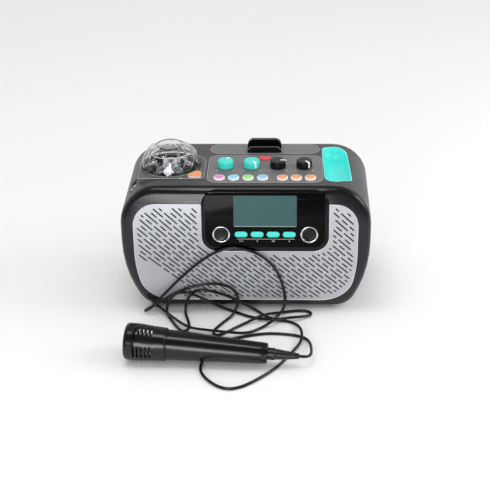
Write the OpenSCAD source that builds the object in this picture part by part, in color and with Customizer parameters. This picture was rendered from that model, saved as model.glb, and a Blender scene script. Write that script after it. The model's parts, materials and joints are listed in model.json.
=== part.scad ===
// Table-top karaoke speaker with a faceted light dome, control knobs and a wired microphone.
// X runs to the right, Y to the back and Z up. The origin is on the table under the middle of the case.

/* [Case] */
// Width of the case over its sides
case_w = 340; // [330:1:350]
// Height of the top deck above the table
deck_z = 190; // [186:1:194]
// Corner radius at the top of the case outline
top_corner_r = 50; // [44:1:54]
// Radius of the gentle side curve below the belly
side_curve_r = 220; // [200:5:240]
// Corner radius at the bottom of the case outline
bottom_corner_r = 34; // [30:1:38]
// Y of the seam between the front bezel and the rear shell
seam_y = -60; // [-62:1:-58]
// Y of the back wall's outer face
back_y = 80; // [76:1:84]
// Wall of the rear shell and the bezel
wall = 2.5; // [2:0.1:3]
// Rounding of the back edges
back_round = 10; // [6:1:12]
// Height where the shells end and the base plate begins
skirt_z = 8; // [7:0.5:9]

/* [Front] */
// Y of the front face where it bulges most
front_apex_y = -84; // [-86:1:-82]
// Radius of the front face's vertical curve
front_curve_r = 300; // [280:10:340]
// Height at which the front face bulges most
front_mid_z = 95; // [90:1:100]
// Rounding between the bezel's front and sides
front_round = 8; // [6:1:9]

/* [Grille] */
// Width of the grille panel
grille_w = 304; // [296:1:308]
// Top edge of the grille panel
grille_top_z = 168; // [165:1:170]
// Bottom edge of the grille panel
grille_bottom_z = 17; // [15:1:20]
// Thickness of the grille panel
grille_t = 2.2; // [1.8:0.1:3]
// Gap between the grille and the bezel all round
grille_gap = 0.7; // [0.4:0.1:1]
// Width of the bezel ledge that the grille lies on
ledge_w = 3; // [2:0.5:4]
// Distance between the lines that the slots lie on
slot_pitch = 5.9; // [5.6:0.1:6.4]
// Width of a slot
slot_w = 1.9; // [1.6:0.1:2.2]
// Length of the long slots
slot_long = 23; // [20:0.5:25]
// Length of the short slots
slot_short = 10; // [8:0.5:11]
// Slant of the slots below the horizontal
slot_angle = 42; // [38:1:46]
// Plain margin between the slots and the grille's edge
slot_margin = 5; // [4:0.5:7]

/* [Display pod] */
// X of the pod's middle
pod_x = 27; // [25:1:29]
// Width of the pod
pod_w = 172; // [168:1:174]
// Height of the pod face along its slope
pod_h = 86; // [84:1:88]
// Backward tilt of the pod face
pod_tilt = 10.5; // [9:0.5:12]
// Rim between the pod's edge and its glossy panel
pod_rim = 5; // [4:0.5:6]
// Width of the display window
lcd_w = 85.5; // [80:0.5:88]
// Height of the display window
lcd_h = 44.5; // [40:0.5:46]
// Spacing of the four menu buttons
menu_pitch = 21.7; // [21:0.1:23]
// Length of a menu button
menu_w = 18; // [16:0.5:19]
// Height of a menu button
menu_h = 8.4; // [7:0.2:9]
// Diameter of the two round keys
key_d = 18.6; // [17:0.2:19.4]
// Distance of each round key from the pod's middle
key_x = 59.5; // [58:0.5:62]
// Travel of the menu buttons and round keys
menu_travel = 1; // [0.6:0.1:1.2]

/* [Top controls] */
// Width of the control panel
panel_w = 159; // [155:1:162]
// Depth of the control panel
panel_d = 85; // [82:1:87]
// X of the control panel's middle
panel_x = 26; // [25:0.5:27]
// Y of the control panel's middle
panel_y = -10; // [-11:0.5:-9]
// Thickness of the control panel and the other inlays
inlay_t = 1.6; // [1.2:0.1:2]
// Diameter of the knobs
knob_d = 22.5; // [20:0.5:24]
// Height of the knobs above the deck
knob_h = 11; // [9:0.5:13]
// Spacing of the knobs
knob_pitch = 36.2; // [34:0.2:38]
// Y of the knobs
knob_y = -4; // [-6:0.5:-2]
// Turn of a knob to each side
knob_turn = 140; // [120:5:150]
// Diameter of the round buttons
button_d = 15.4; // [14:0.2:16]
// Height of the round buttons above the deck
button_h = 3; // [2.6:0.1:3.6]
// Y of the row of round buttons
button_y = -39.6; // [-40.4:0.2:-39]
// Travel of the round buttons
button_travel = 1.4; // [1:0.1:1.6]

/* [Light dome] */
// X of the dome's middle
dome_x = -106; // [-107:0.5:-104]
// Y of the dome's middle
dome_y = 3.4; // [1:0.2:5]
// Outer radius of the dome's flange
dome_r = 43; // [41:0.5:44]
// Height of the dome above its flange
dome_h = 30; // [26:1:33]
// Facets round the dome
dome_facets = 16; // [12:2:20]
// Wall of the dome
dome_wall = 2; // [1.6:0.1:2.4]

/* [Tablet ledge] */
// Width of the ledge inlay
ledge_inlay_w = 156; // [150:1:158]
// Depth of the ledge inlay
ledge_inlay_d = 33; // [30:1:34]
// Y of the ledge's middle
ledge_y = 53; // [52:0.5:54]
// Width of the tablet holder
holder_w = 48; // [44:1:52]
// Height of the holder's back wall above the deck
holder_h = 14; // [12:1:18]
// Gap that holds a tablet's edge
holder_gap = 12; // [9:0.5:13]

/* [Microphone rest] */
// Radius of the trough's round bottom
rest_r = 19; // [17:0.5:20]
// Depth of the trough below the deck
rest_depth = 15; // [12:1:16]

/* [Speakers and battery] */
// Outer diameter of the two loudspeakers
speaker_d = 78; // [70:1:80]
// Distance of each loudspeaker from the middle
speaker_x = 100; // [98:1:104]
// Height of the loudspeaker centres
speaker_z = 62; // [58:1:66]
// Width of the battery door
door_w = 112; // [104:1:116]
// Height of the battery door
door_h = 50; // [44:1:52]

/* [Microphone] */
// Radius of the microphone head
mic_head_r = 25; // [23:0.5:26]
// Length of the microphone head
mic_head_l = 55; // [50:1:58]
// Length of the microphone without its boot
mic_l = 188; // [180:1:195]
// Radius of the handle next to the head
handle_r1 = 20; // [18:0.5:21]
// Radius of the handle at the cord end
handle_r2 = 13.6; // [12:0.2:15]
// Length of the ribbed boot
boot_l = 42; // [36:1:46]
// Diameter of the cord
cord_d = 4; // [3.6:0.2:4.4]

/* [Hidden] */

// Clearance between pieces that don't slide, and between pieces that do
fit = 0.3;
run = 0.3;
eps = 0.01;
// Outline shared by the shells: where the belly is widest, and where the curves end
belly_z = 114;
outline_bottom_z = 2;
corner_steps = 8;
side_steps = 5;
bottom_steps = 6;

// Points on an arc round c from angle a0 to a1
function arc(c, r, a0, a1, n) =
    [for (i = [0:n]) let (a = a0 + (a1 - a0) * i / n) [c[0] + r * cos(a), c[1] + r * sin(a)]];

// Right half of an outline that is round at the top, slightly bowed at the side and round at the bottom
function half_outline(w, top, rt, belly, rs, rb, bottom) =
    let (
        side_x = w / 2 - rs,
        corner_z = bottom + rb,
        corner_x = side_x + sqrt(pow(rs - rb, 2) - pow(belly - corner_z, 2)),
        a = -atan2(belly - corner_z, corner_x - side_x)
    )
    concat(
        arc([w / 2 - rt, top - rt], rt, 90, 0, corner_steps),
        arc([side_x, belly], rs, 0, a, side_steps),
        [for (i = [1:bottom_steps]) arc([corner_x, corner_z], rb, a, -90, bottom_steps)[i]]
    );

function mirrored(p) = concat(p, [for (i = [len(p) - 1:-1:0]) [-p[i][0], p[i][1]]]);

// Case outline, drawn in by an inset
function case_half(inset) = half_outline(case_w - 2 * inset, deck_z - inset, top_corner_r - inset, belly_z,
    side_curve_r - inset, bottom_corner_r - inset, outline_bottom_z + inset);

// Grille outline, grown by a margin
function grille_half(grow) = half_outline(grille_w + 2 * grow, grille_top_z + grow, 30 + grow, 100,
    235 + grow, 45 + grow, grille_bottom_z - grow);

// Y of the front face at a height
function front_y(z) = front_apex_y + front_curve_r - sqrt(pow(front_curve_r, 2) - pow(z - front_mid_z, 2));

// Solid through rings of points that are all mirrored in X, closed by strips across the two ends
module loft(rings) {
    n = len(rings[0]);
    pts = [for (r = rings) each r];
    last = (len(rings) - 1) * n;
    sides = [for (k = [0:len(rings) - 2], i = [0:n - 1], t = [0:1])
        let (a = k * n + i, b = k * n + (i + 1) % n, c = b + n, d = a + n)
        t == 0 ? [a, c, b] : [a, d, c]];
    cap = [for (i = [0:n / 2 - 2], t = [0:1])
        let (a = i, b = i + 1, c = n - 2 - i, d = n - 1 - i)
        t == 0 ? [a, c, d] : [a, b, c]];
    end_cap = [for (f = cap) [last + f[2], last + f[1], last + f[0]]];
    polyhedron(points = pts, faces = concat(sides, cap, end_cap));
}

// Ring of the case outline at an inset, on the plane y or on the front face pushed back by a depth
function flat_ring(inset, y) = [for (p = mirrored(case_half(inset))) [p[0], y, p[1]]];
function front_ring(inset, depth, last_y) =
    [for (p = mirrored(case_half(inset))) [p[0], min(front_y(p[1]) + depth, last_y), p[1]]];

// Slab between two depths behind the front face, as a part of a long cylinder
module front_slab(d0, d1) {
    translate([-case_w, front_apex_y + front_curve_r, front_mid_z]) rotate([0, 90, 0]) difference() {
        cylinder(r = front_curve_r - d0, h = 2 * case_w, $fn = 240);
        translate([0, 0, -1]) cylinder(r = front_curve_r - d1, h = 2 * case_w + 2, $fn = 240);
    }
}

module rounded_rect(w, h, r) {
    square([w - 2 * r, h], center = true);
    square([w, h - 2 * r], center = true);
    for (x = [-1, 1], y = [-1, 1]) translate([x * (w / 2 - r), y * (h / 2 - r)]) circle(r = r, $fn = 48);
}

module rounded_slab(w, h, r, t) {
    linear_extrude(t) rounded_rect(w, h, r);
}

// Prism of a front-view outline, running back from y0 to y1
module front_prism(y0, y1) {
    translate([0, y1, 0]) rotate([90, 0, 0]) linear_extrude(y1 - y0) children();
}

// Notch that the display pod takes out of the grille
notch_w = pod_w + 2 * grille_gap;
notch_bottom_z = 101;
notch_r = 22;
module pod_notch(grow) {
    top = deck_z + 20;
    h = top - notch_bottom_z + grow;
    translate([pod_x, top - h / 2]) rounded_rect(notch_w + 2 * grow, h, notch_r + grow);
}

// Silver grille outline in the front view, grown by a margin
module grille_shape(grow) {
    difference() {
        polygon(mirrored(grille_half(grow)));
        pod_notch(-grow);
    }
}

// Is a point of the front view inside the slotted field?
function in_field(p) =
    let (
        m = slot_margin,
        x = abs(p[0]),
        z = p[1],
        w = grille_w / 2 - m,
        top = grille_top_z - m,
        low = grille_bottom_z + m,
        side = w - max(0, pow(100 - z, 2) / 470) * (z < 100 ? 1 : 0),
        rt = 30 - m,
        rb = 45 - m,
        corner_ok = (x < w - rt || z < top - rt || norm([x - w + rt, z - top + rt]) < rt)
            && (x < side - rb || z > low + rb || norm([x - side + rb, z - low - rb]) < rb),
        nx = abs(p[0] - pod_x) - notch_w / 2,
        nz = notch_bottom_z - z,
        notch_ok = nx > m || nz > m || (nx > m - notch_r && nz > m - notch_r
            && norm([nx + notch_r, nz + notch_r]) > notch_r + m),
        plain_ok = p[0] > -88 || z > 48 - (p[0] + 90) * 0.8
    )
    x < side && z < top && z > low && corner_ok && notch_ok && plain_ok;

// One slot from p along the slant, shortened to the stretch that lies in the field
module slot(p, l) {
    d = [cos(slot_angle), -sin(slot_angle)];
    hits = [for (t = [0:0.05:1.001]) if (in_field(p + d * l * t)) t];
    t0 = len(hits) > 0 ? min(hits) : 0;
    t1 = len(hits) > 0 ? max(hits) : 0;
    if ((t1 - t0) * l > 3.4) translate(p) rotate(-slot_angle)
        translate([t0 * l, -slot_w / 2]) square([(t1 - t0) * l, slot_w]);
}

// Slots lie on slanted lines: two lines down the rows, three lines along them
row_step = [-7.35, -9.3];
col_step = 3 * slot_pitch / sin(slot_angle);
short_step = slot_pitch / sin(slot_angle);
slot_rows = 19;
slot_cols = 14;
slot_start = [4, 166];
module slot_pattern() {
    for (r = [0:slot_rows], c = [-slot_cols:slot_cols + 4]) {
        p = slot_start + r * row_step + [c * col_step, 0];
        if (abs(p[0]) < case_w / 2 + 20) {
            slot(p, slot_long);
            slot(p + [short_step, 0], slot_short);
        }
    }
}

module speaker_grille() {
    color([0.72, 0.73, 0.75]) intersection() {
        front_prism(front_apex_y - 5, seam_y) difference() {
            grille_shape(0);
            slot_pattern();
        }
        front_slab(0.4, 0.4 + grille_t);
    }
}

// Front bezel: a curved shell with a pocket and ledge for the grille and a pocket for the display pod
bezel_fillet_steps = 3;
bezel_depth = wall + grille_t + 1.8;
module bezel_solid(forward) {
    loft(concat(
        [for (k = [bezel_fillet_steps:-1:0]) let (a = 90 * k / bezel_fillet_steps)
            front_ring(front_round * (1 - cos(a)), front_round * (1 - sin(a)) - forward, seam_y - 0.4)],
        [flat_ring(0, seam_y)]
    ));
}

module below_skirt() {
    translate([-case_w, -200, -100]) cube([2 * case_w, 400, 100 + skirt_z]);
}

module front_bezel() {
    color([0.13, 0.13, 0.14]) difference() {
        bezel_solid(0);
        loft([front_ring(wall + 1.2, bezel_depth, seam_y - 4.6), flat_ring(wall + 1.2, seam_y - 4.2),
            flat_ring(wall, seam_y - 3.4), flat_ring(wall, seam_y + 1)]);
        front_prism(front_apex_y - 5, seam_y - 5) grille_shape(-ledge_w);
        intersection() {
            front_prism(front_apex_y - 5, seam_y - 1) grille_shape(grille_gap);
            front_slab(-10, 0.4 + grille_t + fit);
        }
        pod_place() pod_block(fit, -pod_t, 20);
        pod_place() pod_window(fit, -30, 10);
        below_skirt();
    }
}

// Frame of the pod face: X right, Y up the slope, Z out of the face
pod_centre_z = 146.5;
pod_face_y = front_apex_y + 2.5;
pod_t = 7.5;
pod_wrap = 3;
pod_corner_r = notch_r - grille_gap;
module pod_place() {
    translate([pod_x, pod_face_y, pod_centre_z]) rotate([90 - pod_tilt, 0, 0]) children();
}

module pod_block(grow, z0, z1) {
    translate([0, 0, z0]) rounded_slab(pod_w + 2 * grow, pod_h + 2 * grow, pod_corner_r + grow, z1 - z0);
}

// Window behind the glossy panel, from z0 to z1 in the pod's frame
pod_ledge = 4;
module pod_window(grow, z0, z1) {
    w = pod_w - 2 * (pod_rim + pod_ledge);
    low = -pod_h / 2 + pod_rim + pod_ledge;
    h = pod_h / 2 - 3.4 - low;
    translate([0, low + h / 2, z0]) rounded_slab(w + 2 * grow, h + 2 * grow, 8 + grow, z1 - z0);
}

// Recess of the glossy panel; it runs out over the pod's rounded top edge
panel_t = 2;
module panel_shape(grow) {
    w = pod_w - 2 * pod_rim + 2 * grow;
    h = pod_h - pod_rim + grow + 20;
    translate([0, h / 2 - pod_h / 2 + pod_rim - grow]) rounded_rect(w, h, pod_corner_r - pod_rim + grow);
}

module pod_housing() {
    color([0.07, 0.07, 0.08]) difference() {
        intersection() {
            pod_place() hull() {
                pod_block(-2.5, -1, 0);
                pod_block(-0.7, -2, -1);
                pod_block(0, -3, -2);
                pod_block(0, -pod_t, -pod_t + 1);
            }
            bezel_solid(pod_wrap);
        }
        pod_place() {
            translate([0, 0, -panel_t]) linear_extrude(20) panel_shape(0);
            pod_window(0, -20, 10);
        }
    }
}

// Openings in the glossy panel, in the pod's frame
lcd_up = 14;
keys_up = -18.6;
ring_d = key_d + 5;
module pod_openings(grow) {
    translate([0, lcd_up]) rounded_rect(lcd_w + 2 * grow, lcd_h + 2 * grow, 1.5);
    for (i = [0:3]) translate([(i - 1.5) * menu_pitch, keys_up])
        rounded_rect(menu_w + 2 * grow, menu_h + 2 * grow, menu_h / 2 + grow - 0.05);
    for (s = [-1, 1]) translate([s * key_x, keys_up]) circle(d = ring_d + 2 * grow, $fn = 64);
}

module pod_panel() {
    color([0.02, 0.02, 0.02]) intersection() {
        pod_place() translate([0, 0, -panel_t]) linear_extrude(panel_t - 0.3) difference() {
            panel_shape(-fit);
            pod_openings(0);
        }
        bezel_solid(pod_wrap - 0.2);
    }
}

// Display glass: its step fills the panel's window and its flange lies behind the panel
lcd_flange = 2;
module lcd_glass() {
    color([0.29, 0.43, 0.42]) pod_place() translate([0, lcd_up, 0]) {
        translate([0, 0, -panel_t]) linear_extrude(panel_t - 0.6) rounded_rect(lcd_w - 2 * fit, lcd_h - 2 * fit, 1.3);
        translate([0, 0, -panel_t - 1.6]) linear_extrude(1.6)
            rounded_rect(lcd_w + 2 * lcd_flange, lcd_h + 2 * lcd_flange, 2);
    }
}

// Circuit board behind the pod, with the switches under the keys and posts to the panel's back
board_t = 1.6;
board_up = 0.5;
display_board_z = -9.5;
switch_top = -4.6 - menu_travel;
module display_board() {
    w = pod_w - 2 * (pod_rim + pod_ledge) - 4;
    h = pod_h - 2 * (pod_rim + pod_ledge) - 4;
    color([0.1, 0.35, 0.2]) pod_place() {
        translate([0, 0, display_board_z - board_t]) rounded_slab(w, h, 3, board_t);
        translate([0, lcd_up, display_board_z]) linear_extrude(-panel_t - 1.6 - display_board_z)
            square([lcd_w - 10, lcd_h - 10], center = true);
        for (i = [0:3]) translate([(i - 1.5) * menu_pitch, keys_up, display_board_z])
            cylinder(d = 4, h = switch_top - display_board_z, $fn = 32);
        for (s = [-1, 1]) translate([s * key_x, keys_up, display_board_z])
            cylinder(d = 5, h = switch_top - display_board_z, $fn = 32);
        for (x = [-1, 1]) translate([x * (w / 2 - 4), h / 2 - 5, display_board_z])
            cylinder(d = 5, h = -panel_t - display_board_z, $fn = 32);
    }
}

// Teal menu button: a pill through the panel on a flange behind it
key_proud = 0.9;
module menu_button(i) {
    color([0.36, 0.88, 0.8]) pod_place() translate([(i - 1.5) * menu_pitch, keys_up, 0]) {
        translate([0, 0, -panel_t - 0.4]) linear_extrude(panel_t + 0.4 + key_proud - 0.5)
            rounded_rect(menu_w - 2 * run, menu_h - 2 * run, menu_h / 2 - run - 0.05);
        translate([0, 0, key_proud - 0.5]) linear_extrude(0.5)
            rounded_rect(menu_w - 2 * run - 1, menu_h - 2 * run - 1, menu_h / 2 - run - 0.55);
        translate([0, 0, -panel_t - 1.7]) linear_extrude(1.4)
            rounded_rect(menu_w + 1.6, menu_h + 1.6, menu_h / 2 + 0.7);
        translate([0, 0, switch_top + menu_travel + 0.3]) cylinder(d = 3.6, h = 1.4, $fn = 32);
    }
}
module menu_button_1() { menu_button(0); }
module menu_button_2() { menu_button(1); }
module menu_button_3() { menu_button(2); }
module menu_button_4() { menu_button(3); }

// Round key inside its chrome ring
module round_key(s) {
    color([0.05, 0.05, 0.05]) pod_place() translate([s * key_x, keys_up, 0]) {
        translate([0, 0, -panel_t - 0.6]) rotate_extrude($fn = 64) polygon([[0, 0], [key_d / 2, 0],
            [key_d / 2, panel_t + 0.6], [key_d / 2 - 1, panel_t + 1.3], [0, panel_t + 1]]);
        translate([0, 0, -panel_t - 1.9]) cylinder(d = key_d + 3, h = 1.4, $fn = 64);
        translate([0, 0, switch_top + menu_travel + 0.3]) cylinder(d = 4.6, h = 1.2, $fn = 32);
    }
}
module left_key() { round_key(-1); }
module right_key() { round_key(1); }

module key_rings() {
    color([0.8, 0.82, 0.82]) pod_place() for (s = [-1, 1]) translate([s * key_x, keys_up, 0])
        rotate_extrude($fn = 64) polygon([[key_d / 2 + run, -panel_t], [ring_d / 2 - 0.05, -panel_t],
            [ring_d / 2 - 0.05, 0.2], [ring_d / 2 - 0.9, 0.8], [key_d / 2 + run + 0.5, 0.8], [key_d / 2 + run, 0.3]]);
}

// Baffle board behind the grille, cut out for the pod and the two loudspeakers
baffle_t = 3;
baffle_y = seam_y - 3;
module speaker_baffle() {
    color([0.08, 0.08, 0.08]) difference() {
        front_prism(baffle_y, baffle_y + baffle_t) difference() {
            polygon(mirrored(case_half(wall + fit)));
            translate([-case_w, -1]) square([2 * case_w, skirt_z + fit + 1]);
            for (s = [-1, 1]) translate([s * speaker_x, speaker_z]) circle(d = speaker_d - 10, $fn = 64);
        }
        pod_place() pod_window(fit, -60, 10);
    }
}

// Loudspeaker: flange against the baffle, cone, basket and magnet
module loudspeaker(s) {
    r = speaker_d / 2;
    color([0.25, 0.25, 0.26]) translate([s * speaker_x, baffle_y + baffle_t, speaker_z]) rotate([-90, 0, 0])
        rotate_extrude($fn = 64) polygon([[0, 14], [9, 14], [r - 12, 3], [r - 9, 0], [r, 0], [r, 3], [r - 4, 4],
            [r - 14, 20], [22, 24], [22, 36], [0, 36]]);
}
module left_speaker() { loudspeaker(-1); }
module right_speaker() { loudspeaker(1); }

// Top deck furniture: each inlay lies in a shallow pocket of the deck
pocket_t = inlay_t - 0.4;
control_hole_d = 9;
module inlay_shapes(grow) {
    translate([panel_x, panel_y]) rounded_rect(panel_w + 2 * grow, panel_d + 2 * grow, 14 + grow);
    translate([panel_x - 2, ledge_y]) rounded_rect(ledge_inlay_w + 2 * grow, ledge_inlay_d + 2 * grow,
        ledge_inlay_d / 2 + grow - 0.05);
}

// Places of the controls on the deck
knobs_x = [for (i = [0:3]) panel_x - 0.6 + (i - 1.5) * knob_pitch];
buttons_x = [-36, -16.4, 3.3, 23, 49.9, 69, 88];
record_at = [24.6, 21];
record_w = 17.4;
record_h = 9;
knob_stem_d = 8;

// Holes through the panel and the deck for knobs and buttons
module control_holes(grow) {
    for (x = knobs_x) translate([x, knob_y]) circle(d = knob_stem_d + 2 * (run + grow), $fn = 48);
    for (x = buttons_x) translate([x, button_y]) circle(d = button_d + 2 * (run + grow), $fn = 48);
    translate(record_at) rounded_rect(record_w + 2 * (run + grow), record_h + 2 * (run + grow),
        record_h / 2 + run + grow - 0.05);
}

module control_panel() {
    color([0.5, 0.5, 0.51]) translate([0, 0, deck_z - pocket_t]) linear_extrude(inlay_t) difference() {
        translate([panel_x, panel_y]) rounded_rect(panel_w - 2 * fit, panel_d - 2 * fit, 14 - fit);
        control_holes(0);
    }
}

holder_x = 23.5;
holder_d = 21;
holder_base_w = holder_w - 6;
module tablet_ledge() {
    color([0.5, 0.5, 0.51]) translate([0, 0, deck_z - pocket_t]) linear_extrude(inlay_t) difference() {
        translate([panel_x - 2, ledge_y]) rounded_rect(ledge_inlay_w - 2 * fit, ledge_inlay_d - 2 * fit,
            ledge_inlay_d / 2 - fit - 0.05);
        translate([holder_x, holder_y]) square([holder_base_w + 2 * fit, holder_d + 2 * fit], center = true);
    }
}

// Tablet holder: a rounded clip with a groove across it, its low lip to the front
holder_y = 51.5;
lip_h = 9;
lip_t = 3.2;
module tablet_holder() {
    y0 = holder_y - holder_d / 2;
    color([0.05, 0.05, 0.05]) difference() {
        front_prism(y0, y0 + holder_d) difference() {
            translate([holder_x, deck_z + holder_h - 13]) rounded_rect(holder_w, 26, 9);
            translate([holder_x - holder_w, deck_z - 20]) square([2 * holder_w, 20 - pocket_t + inlay_t + fit]);
        }
        translate([holder_x - holder_w, y0 + lip_t, deck_z + 3]) cube([2 * holder_w, holder_gap, 40]);
        translate([holder_x - holder_w, y0 - 1, deck_z + lip_h]) cube([2 * holder_w, lip_t + 2, 40]);
        for (s = [-1, 1]) translate([holder_x + s * holder_w / 2, y0 - 1, deck_z + lip_h])
            rotate([0, 45, 0]) cube([7, 2 * (lip_t + 1), 7], center = true);
    }
    color([0.05, 0.05, 0.05]) translate([holder_x, holder_y, deck_z - 3])
        linear_extrude(3 - pocket_t + inlay_t + fit + 0.4) square([holder_base_w, holder_d], center = true);
}

// Knob: a skirt, a rounded grip and the stem that turns in the deck hole
knob_lift = inlay_t - pocket_t + 0.4;
module knob(i, tint) {
    r = knob_d / 2;
    top = knob_h;
    color(tint) translate([knobs_x[i], knob_y, deck_z]) {
        rotate_extrude($fn = 64) polygon(concat([[0, knob_lift], [r - 0.6, knob_lift], [r - 0.6, 2.2], [r, 2.4]],
            [for (a = [0:22.5:90]) [r - 2.2 + 2.2 * cos(a) - 0.3, top - 2.2 + 2.2 * sin(a)]], [[0, top - 0.2]]));
        translate([0, 0, -12.8]) cylinder(d = knob_stem_d - 1, h = 12.8 + knob_lift + 0.5, $fn = 48);
    }
}
module teal_knob_left() { knob(0, [0.35, 0.88, 0.84]); }
module teal_knob_right() { knob(1, [0.35, 0.88, 0.84]); }
module black_knob_left() { knob(2, [0.08, 0.08, 0.08]); }
module black_knob_right() { knob(3, [0.08, 0.08, 0.08]); }

// Round button: a white body with a crowned cap, and a flange under the deck
button_flange_z = -wall - 0.3 - 1.6;
module deck_button(x, tint) {
    r = button_d / 2;
    color(tint) translate([x, button_y, deck_z]) rotate_extrude($fn = 64) polygon(concat(
        [[0, button_flange_z - 1.6], [3, button_flange_z - 1.6], [3, button_flange_z], [r + 1, button_flange_z],
            [r + 1, button_flange_z + 1.6], [r, button_flange_z + 1.6], [r, button_h - 0.8], [r - 0.7, button_h - 0.2],
            [r - 1.9, button_h - 0.2]],
        [[r - 1.9, button_h], [r * 0.45, button_h + 0.35], [0, button_h + 0.5]]));
}
module pink_button() { deck_button(buttons_x[0], [0.9, 0.6, 0.84]); }
module blue_button() { deck_button(buttons_x[1], [0.6, 0.85, 0.92]); }
module green_button() { deck_button(buttons_x[2], [0.6, 0.88, 0.48]); }
module sky_button() { deck_button(buttons_x[3], [0.6, 0.76, 0.94]); }
module orange_button_1() { deck_button(buttons_x[4], [0.96, 0.66, 0.46]); }
module orange_button_2() { deck_button(buttons_x[5], [0.96, 0.66, 0.46]); }
module orange_button_3() { deck_button(buttons_x[6], [0.96, 0.66, 0.46]); }

module record_button() {
    color([0.92, 0.35, 0.4]) translate([record_at[0], record_at[1], deck_z]) {
        translate([0, 0, button_flange_z]) linear_extrude(2.2 - button_flange_z)
            rounded_rect(record_w, record_h, record_h / 2 - 0.05);
        translate([0, 0, 2.2]) linear_extrude(0.5) rounded_rect(record_w - 1.4, record_h - 1.4, record_h / 2 - 0.75);
        translate([0, 0, button_flange_z]) linear_extrude(1.6) rounded_rect(record_w + 2, record_h + 2, record_h / 2 + 0.9);
        translate([0, 0, button_flange_z - 1.6]) cylinder(d = 6, h = 2, $fn = 32);
    }
}

// Control board under the deck: variable resistors under the knobs and switches under the buttons
control_board_z = deck_z - 19;
switch_z = button_flange_z - 1.6 - button_travel - 0.3;
module control_board() {
    color([0.1, 0.35, 0.2]) {
        translate([panel_x, panel_y, control_board_z - board_t]) rounded_slab(panel_w - 8, panel_d - 12, 3, board_t);
        for (x = knobs_x) translate([x, knob_y, control_board_z]) difference() {
            cylinder(d = 16, h = 6.6, $fn = 48);
            translate([0, 0, 5.9]) cylinder(d = knob_stem_d, h = 2, $fn = 48);
        }
        for (x = buttons_x) translate([x, button_y, control_board_z]) cylinder(d = 5, h = 19 + switch_z, $fn = 32);
        translate([record_at[0], record_at[1], control_board_z]) cylinder(d = 5, h = 19 + switch_z, $fn = 32);
    }
}

// Dome platform: a level pad on the left shoulder, with the light button at its corner
platform_depth = 16;
platform_z0 = deck_z - platform_depth;
platform_top = deck_z + 1;
platform_front_y = -41.5;
platform_back_y = 33;
platform_left_x = -147;
platform_right_x = -57;
module platform_shape(grow) {
    x0 = platform_left_x - grow;
    x1 = platform_right_x + grow;
    y0 = platform_front_y - grow;
    y1 = platform_back_y + grow;
    hull() {
        translate([x0 + 3, y0 + 3]) circle(r = 3, $fn = 24);
        translate([x1 - 5, y0 + 5]) circle(r = 5, $fn = 24);
        translate([x1 - 22, y1 - 22]) circle(r = 22, $fn = 48);
        translate([x0 + 20, y1 - 20]) circle(r = 20, $fn = 48);
    }
}
light_button_box = [-79, -39.6, 18, 17];
module light_button_shape(grow) {
    b = light_button_box;
    difference() {
        translate([b[0] + b[2] / 2, b[1] + b[3] / 2]) rounded_rect(b[2] + 2 * grow, b[3] + 2 * grow, 4 + grow);
        translate([dome_x, dome_y]) circle(r = dome_r + 2 - grow, $fn = 96);
    }
}
dome_seat_r = dome_r - 4;
dome_seat_depth = 0.7;
dome_flange_t = 2;
module dome_platform() {
    color([0.48, 0.48, 0.49]) difference() {
        translate([0, 0, platform_z0]) linear_extrude(platform_top - platform_z0) platform_shape(0);
        translate([dome_x, dome_y, platform_top - dome_seat_depth]) cylinder(r = dome_r + fit, h = 5, $fn = 96);
        translate([dome_x, dome_y, platform_z0 + 2]) cylinder(r = dome_seat_r, h = 40, $fn = 96);
        translate([dome_x, dome_y, platform_z0 - 1]) cylinder(r = 12, h = 10, $fn = 48);
        translate([0, 0, platform_z0 + 5]) linear_extrude(30) light_button_shape(run);
        jack_pocket();
    }
}

light_button_h = 2.6;
module light_button() {
    color([0.97, 0.68, 0.5]) {
        translate([0, 0, platform_z0 + 5 + button_travel + 0.3])
            linear_extrude(platform_top + light_button_h - 0.6 - (platform_z0 + 5 + button_travel + 0.3))
            light_button_shape(0);
        translate([0, 0, platform_top + light_button_h - 0.6]) linear_extrude(0.6) light_button_shape(-1);
    }
}

// Faceted dome: rings of flat facets that are turned by half a facet from one ring to the next
dome_levels = [[1, 0], [0.985, 0.2], [0.91, 0.48], [0.76, 0.75], [0.43, 1]];
module dome_skin(r, h, base_z) {
    n = dome_facets;
    m = len(dome_levels);
    pts = [for (k = [0:m - 1], i = [0:n - 1]) let (a = 360 / n * (i + (k % 2) / 2))
        [r * dome_levels[k][0] * cos(a), r * dome_levels[k][0] * sin(a), base_z + h * dome_levels[k][1]]];
    function id(k, i) = k * n + (i + n) % n;
    sides = [for (k = [0:m - 2], i = [0:n - 1], t = [0:1])
        k % 2 == 0
            ? (t == 0 ? [id(k, i), id(k + 1, i), id(k, i + 1)] : [id(k, i + 1), id(k + 1, i), id(k + 1, i + 1)])
            : (t == 0 ? [id(k, i), id(k + 1, i), id(k + 1, i + 1)] : [id(k, i), id(k + 1, i + 1), id(k, i + 1)])];
    polyhedron(points = pts, faces = concat(sides, [[for (i = [0:n - 1]) i]],
        [[for (i = [n - 1:-1:0]) (m - 1) * n + i]]));
}
dome_base_z = platform_top - dome_seat_depth + dome_flange_t;
module dome_lens() {
    color([0.9, 0.93, 0.95, 0.5]) translate([dome_x, dome_y, 0]) {
        difference() {
            translate([0, 0, platform_top - dome_seat_depth]) cylinder(r = dome_r, h = dome_flange_t, $fn = 96);
            translate([0, 0, platform_top - 5]) cylinder(r = dome_r - 5, h = 20, $fn = 96);
        }
        difference() {
            dome_skin(dome_r - 2, dome_h, dome_base_z - 0.6);
            dome_skin(dome_r - 2 - dome_wall, dome_h - dome_wall, dome_base_z - 1.2);
            translate([0, 0, dome_base_z - 3]) cylinder(r = dome_r - 5.5, h = 3.2, $fn = 96);
        }
    }
}

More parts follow.
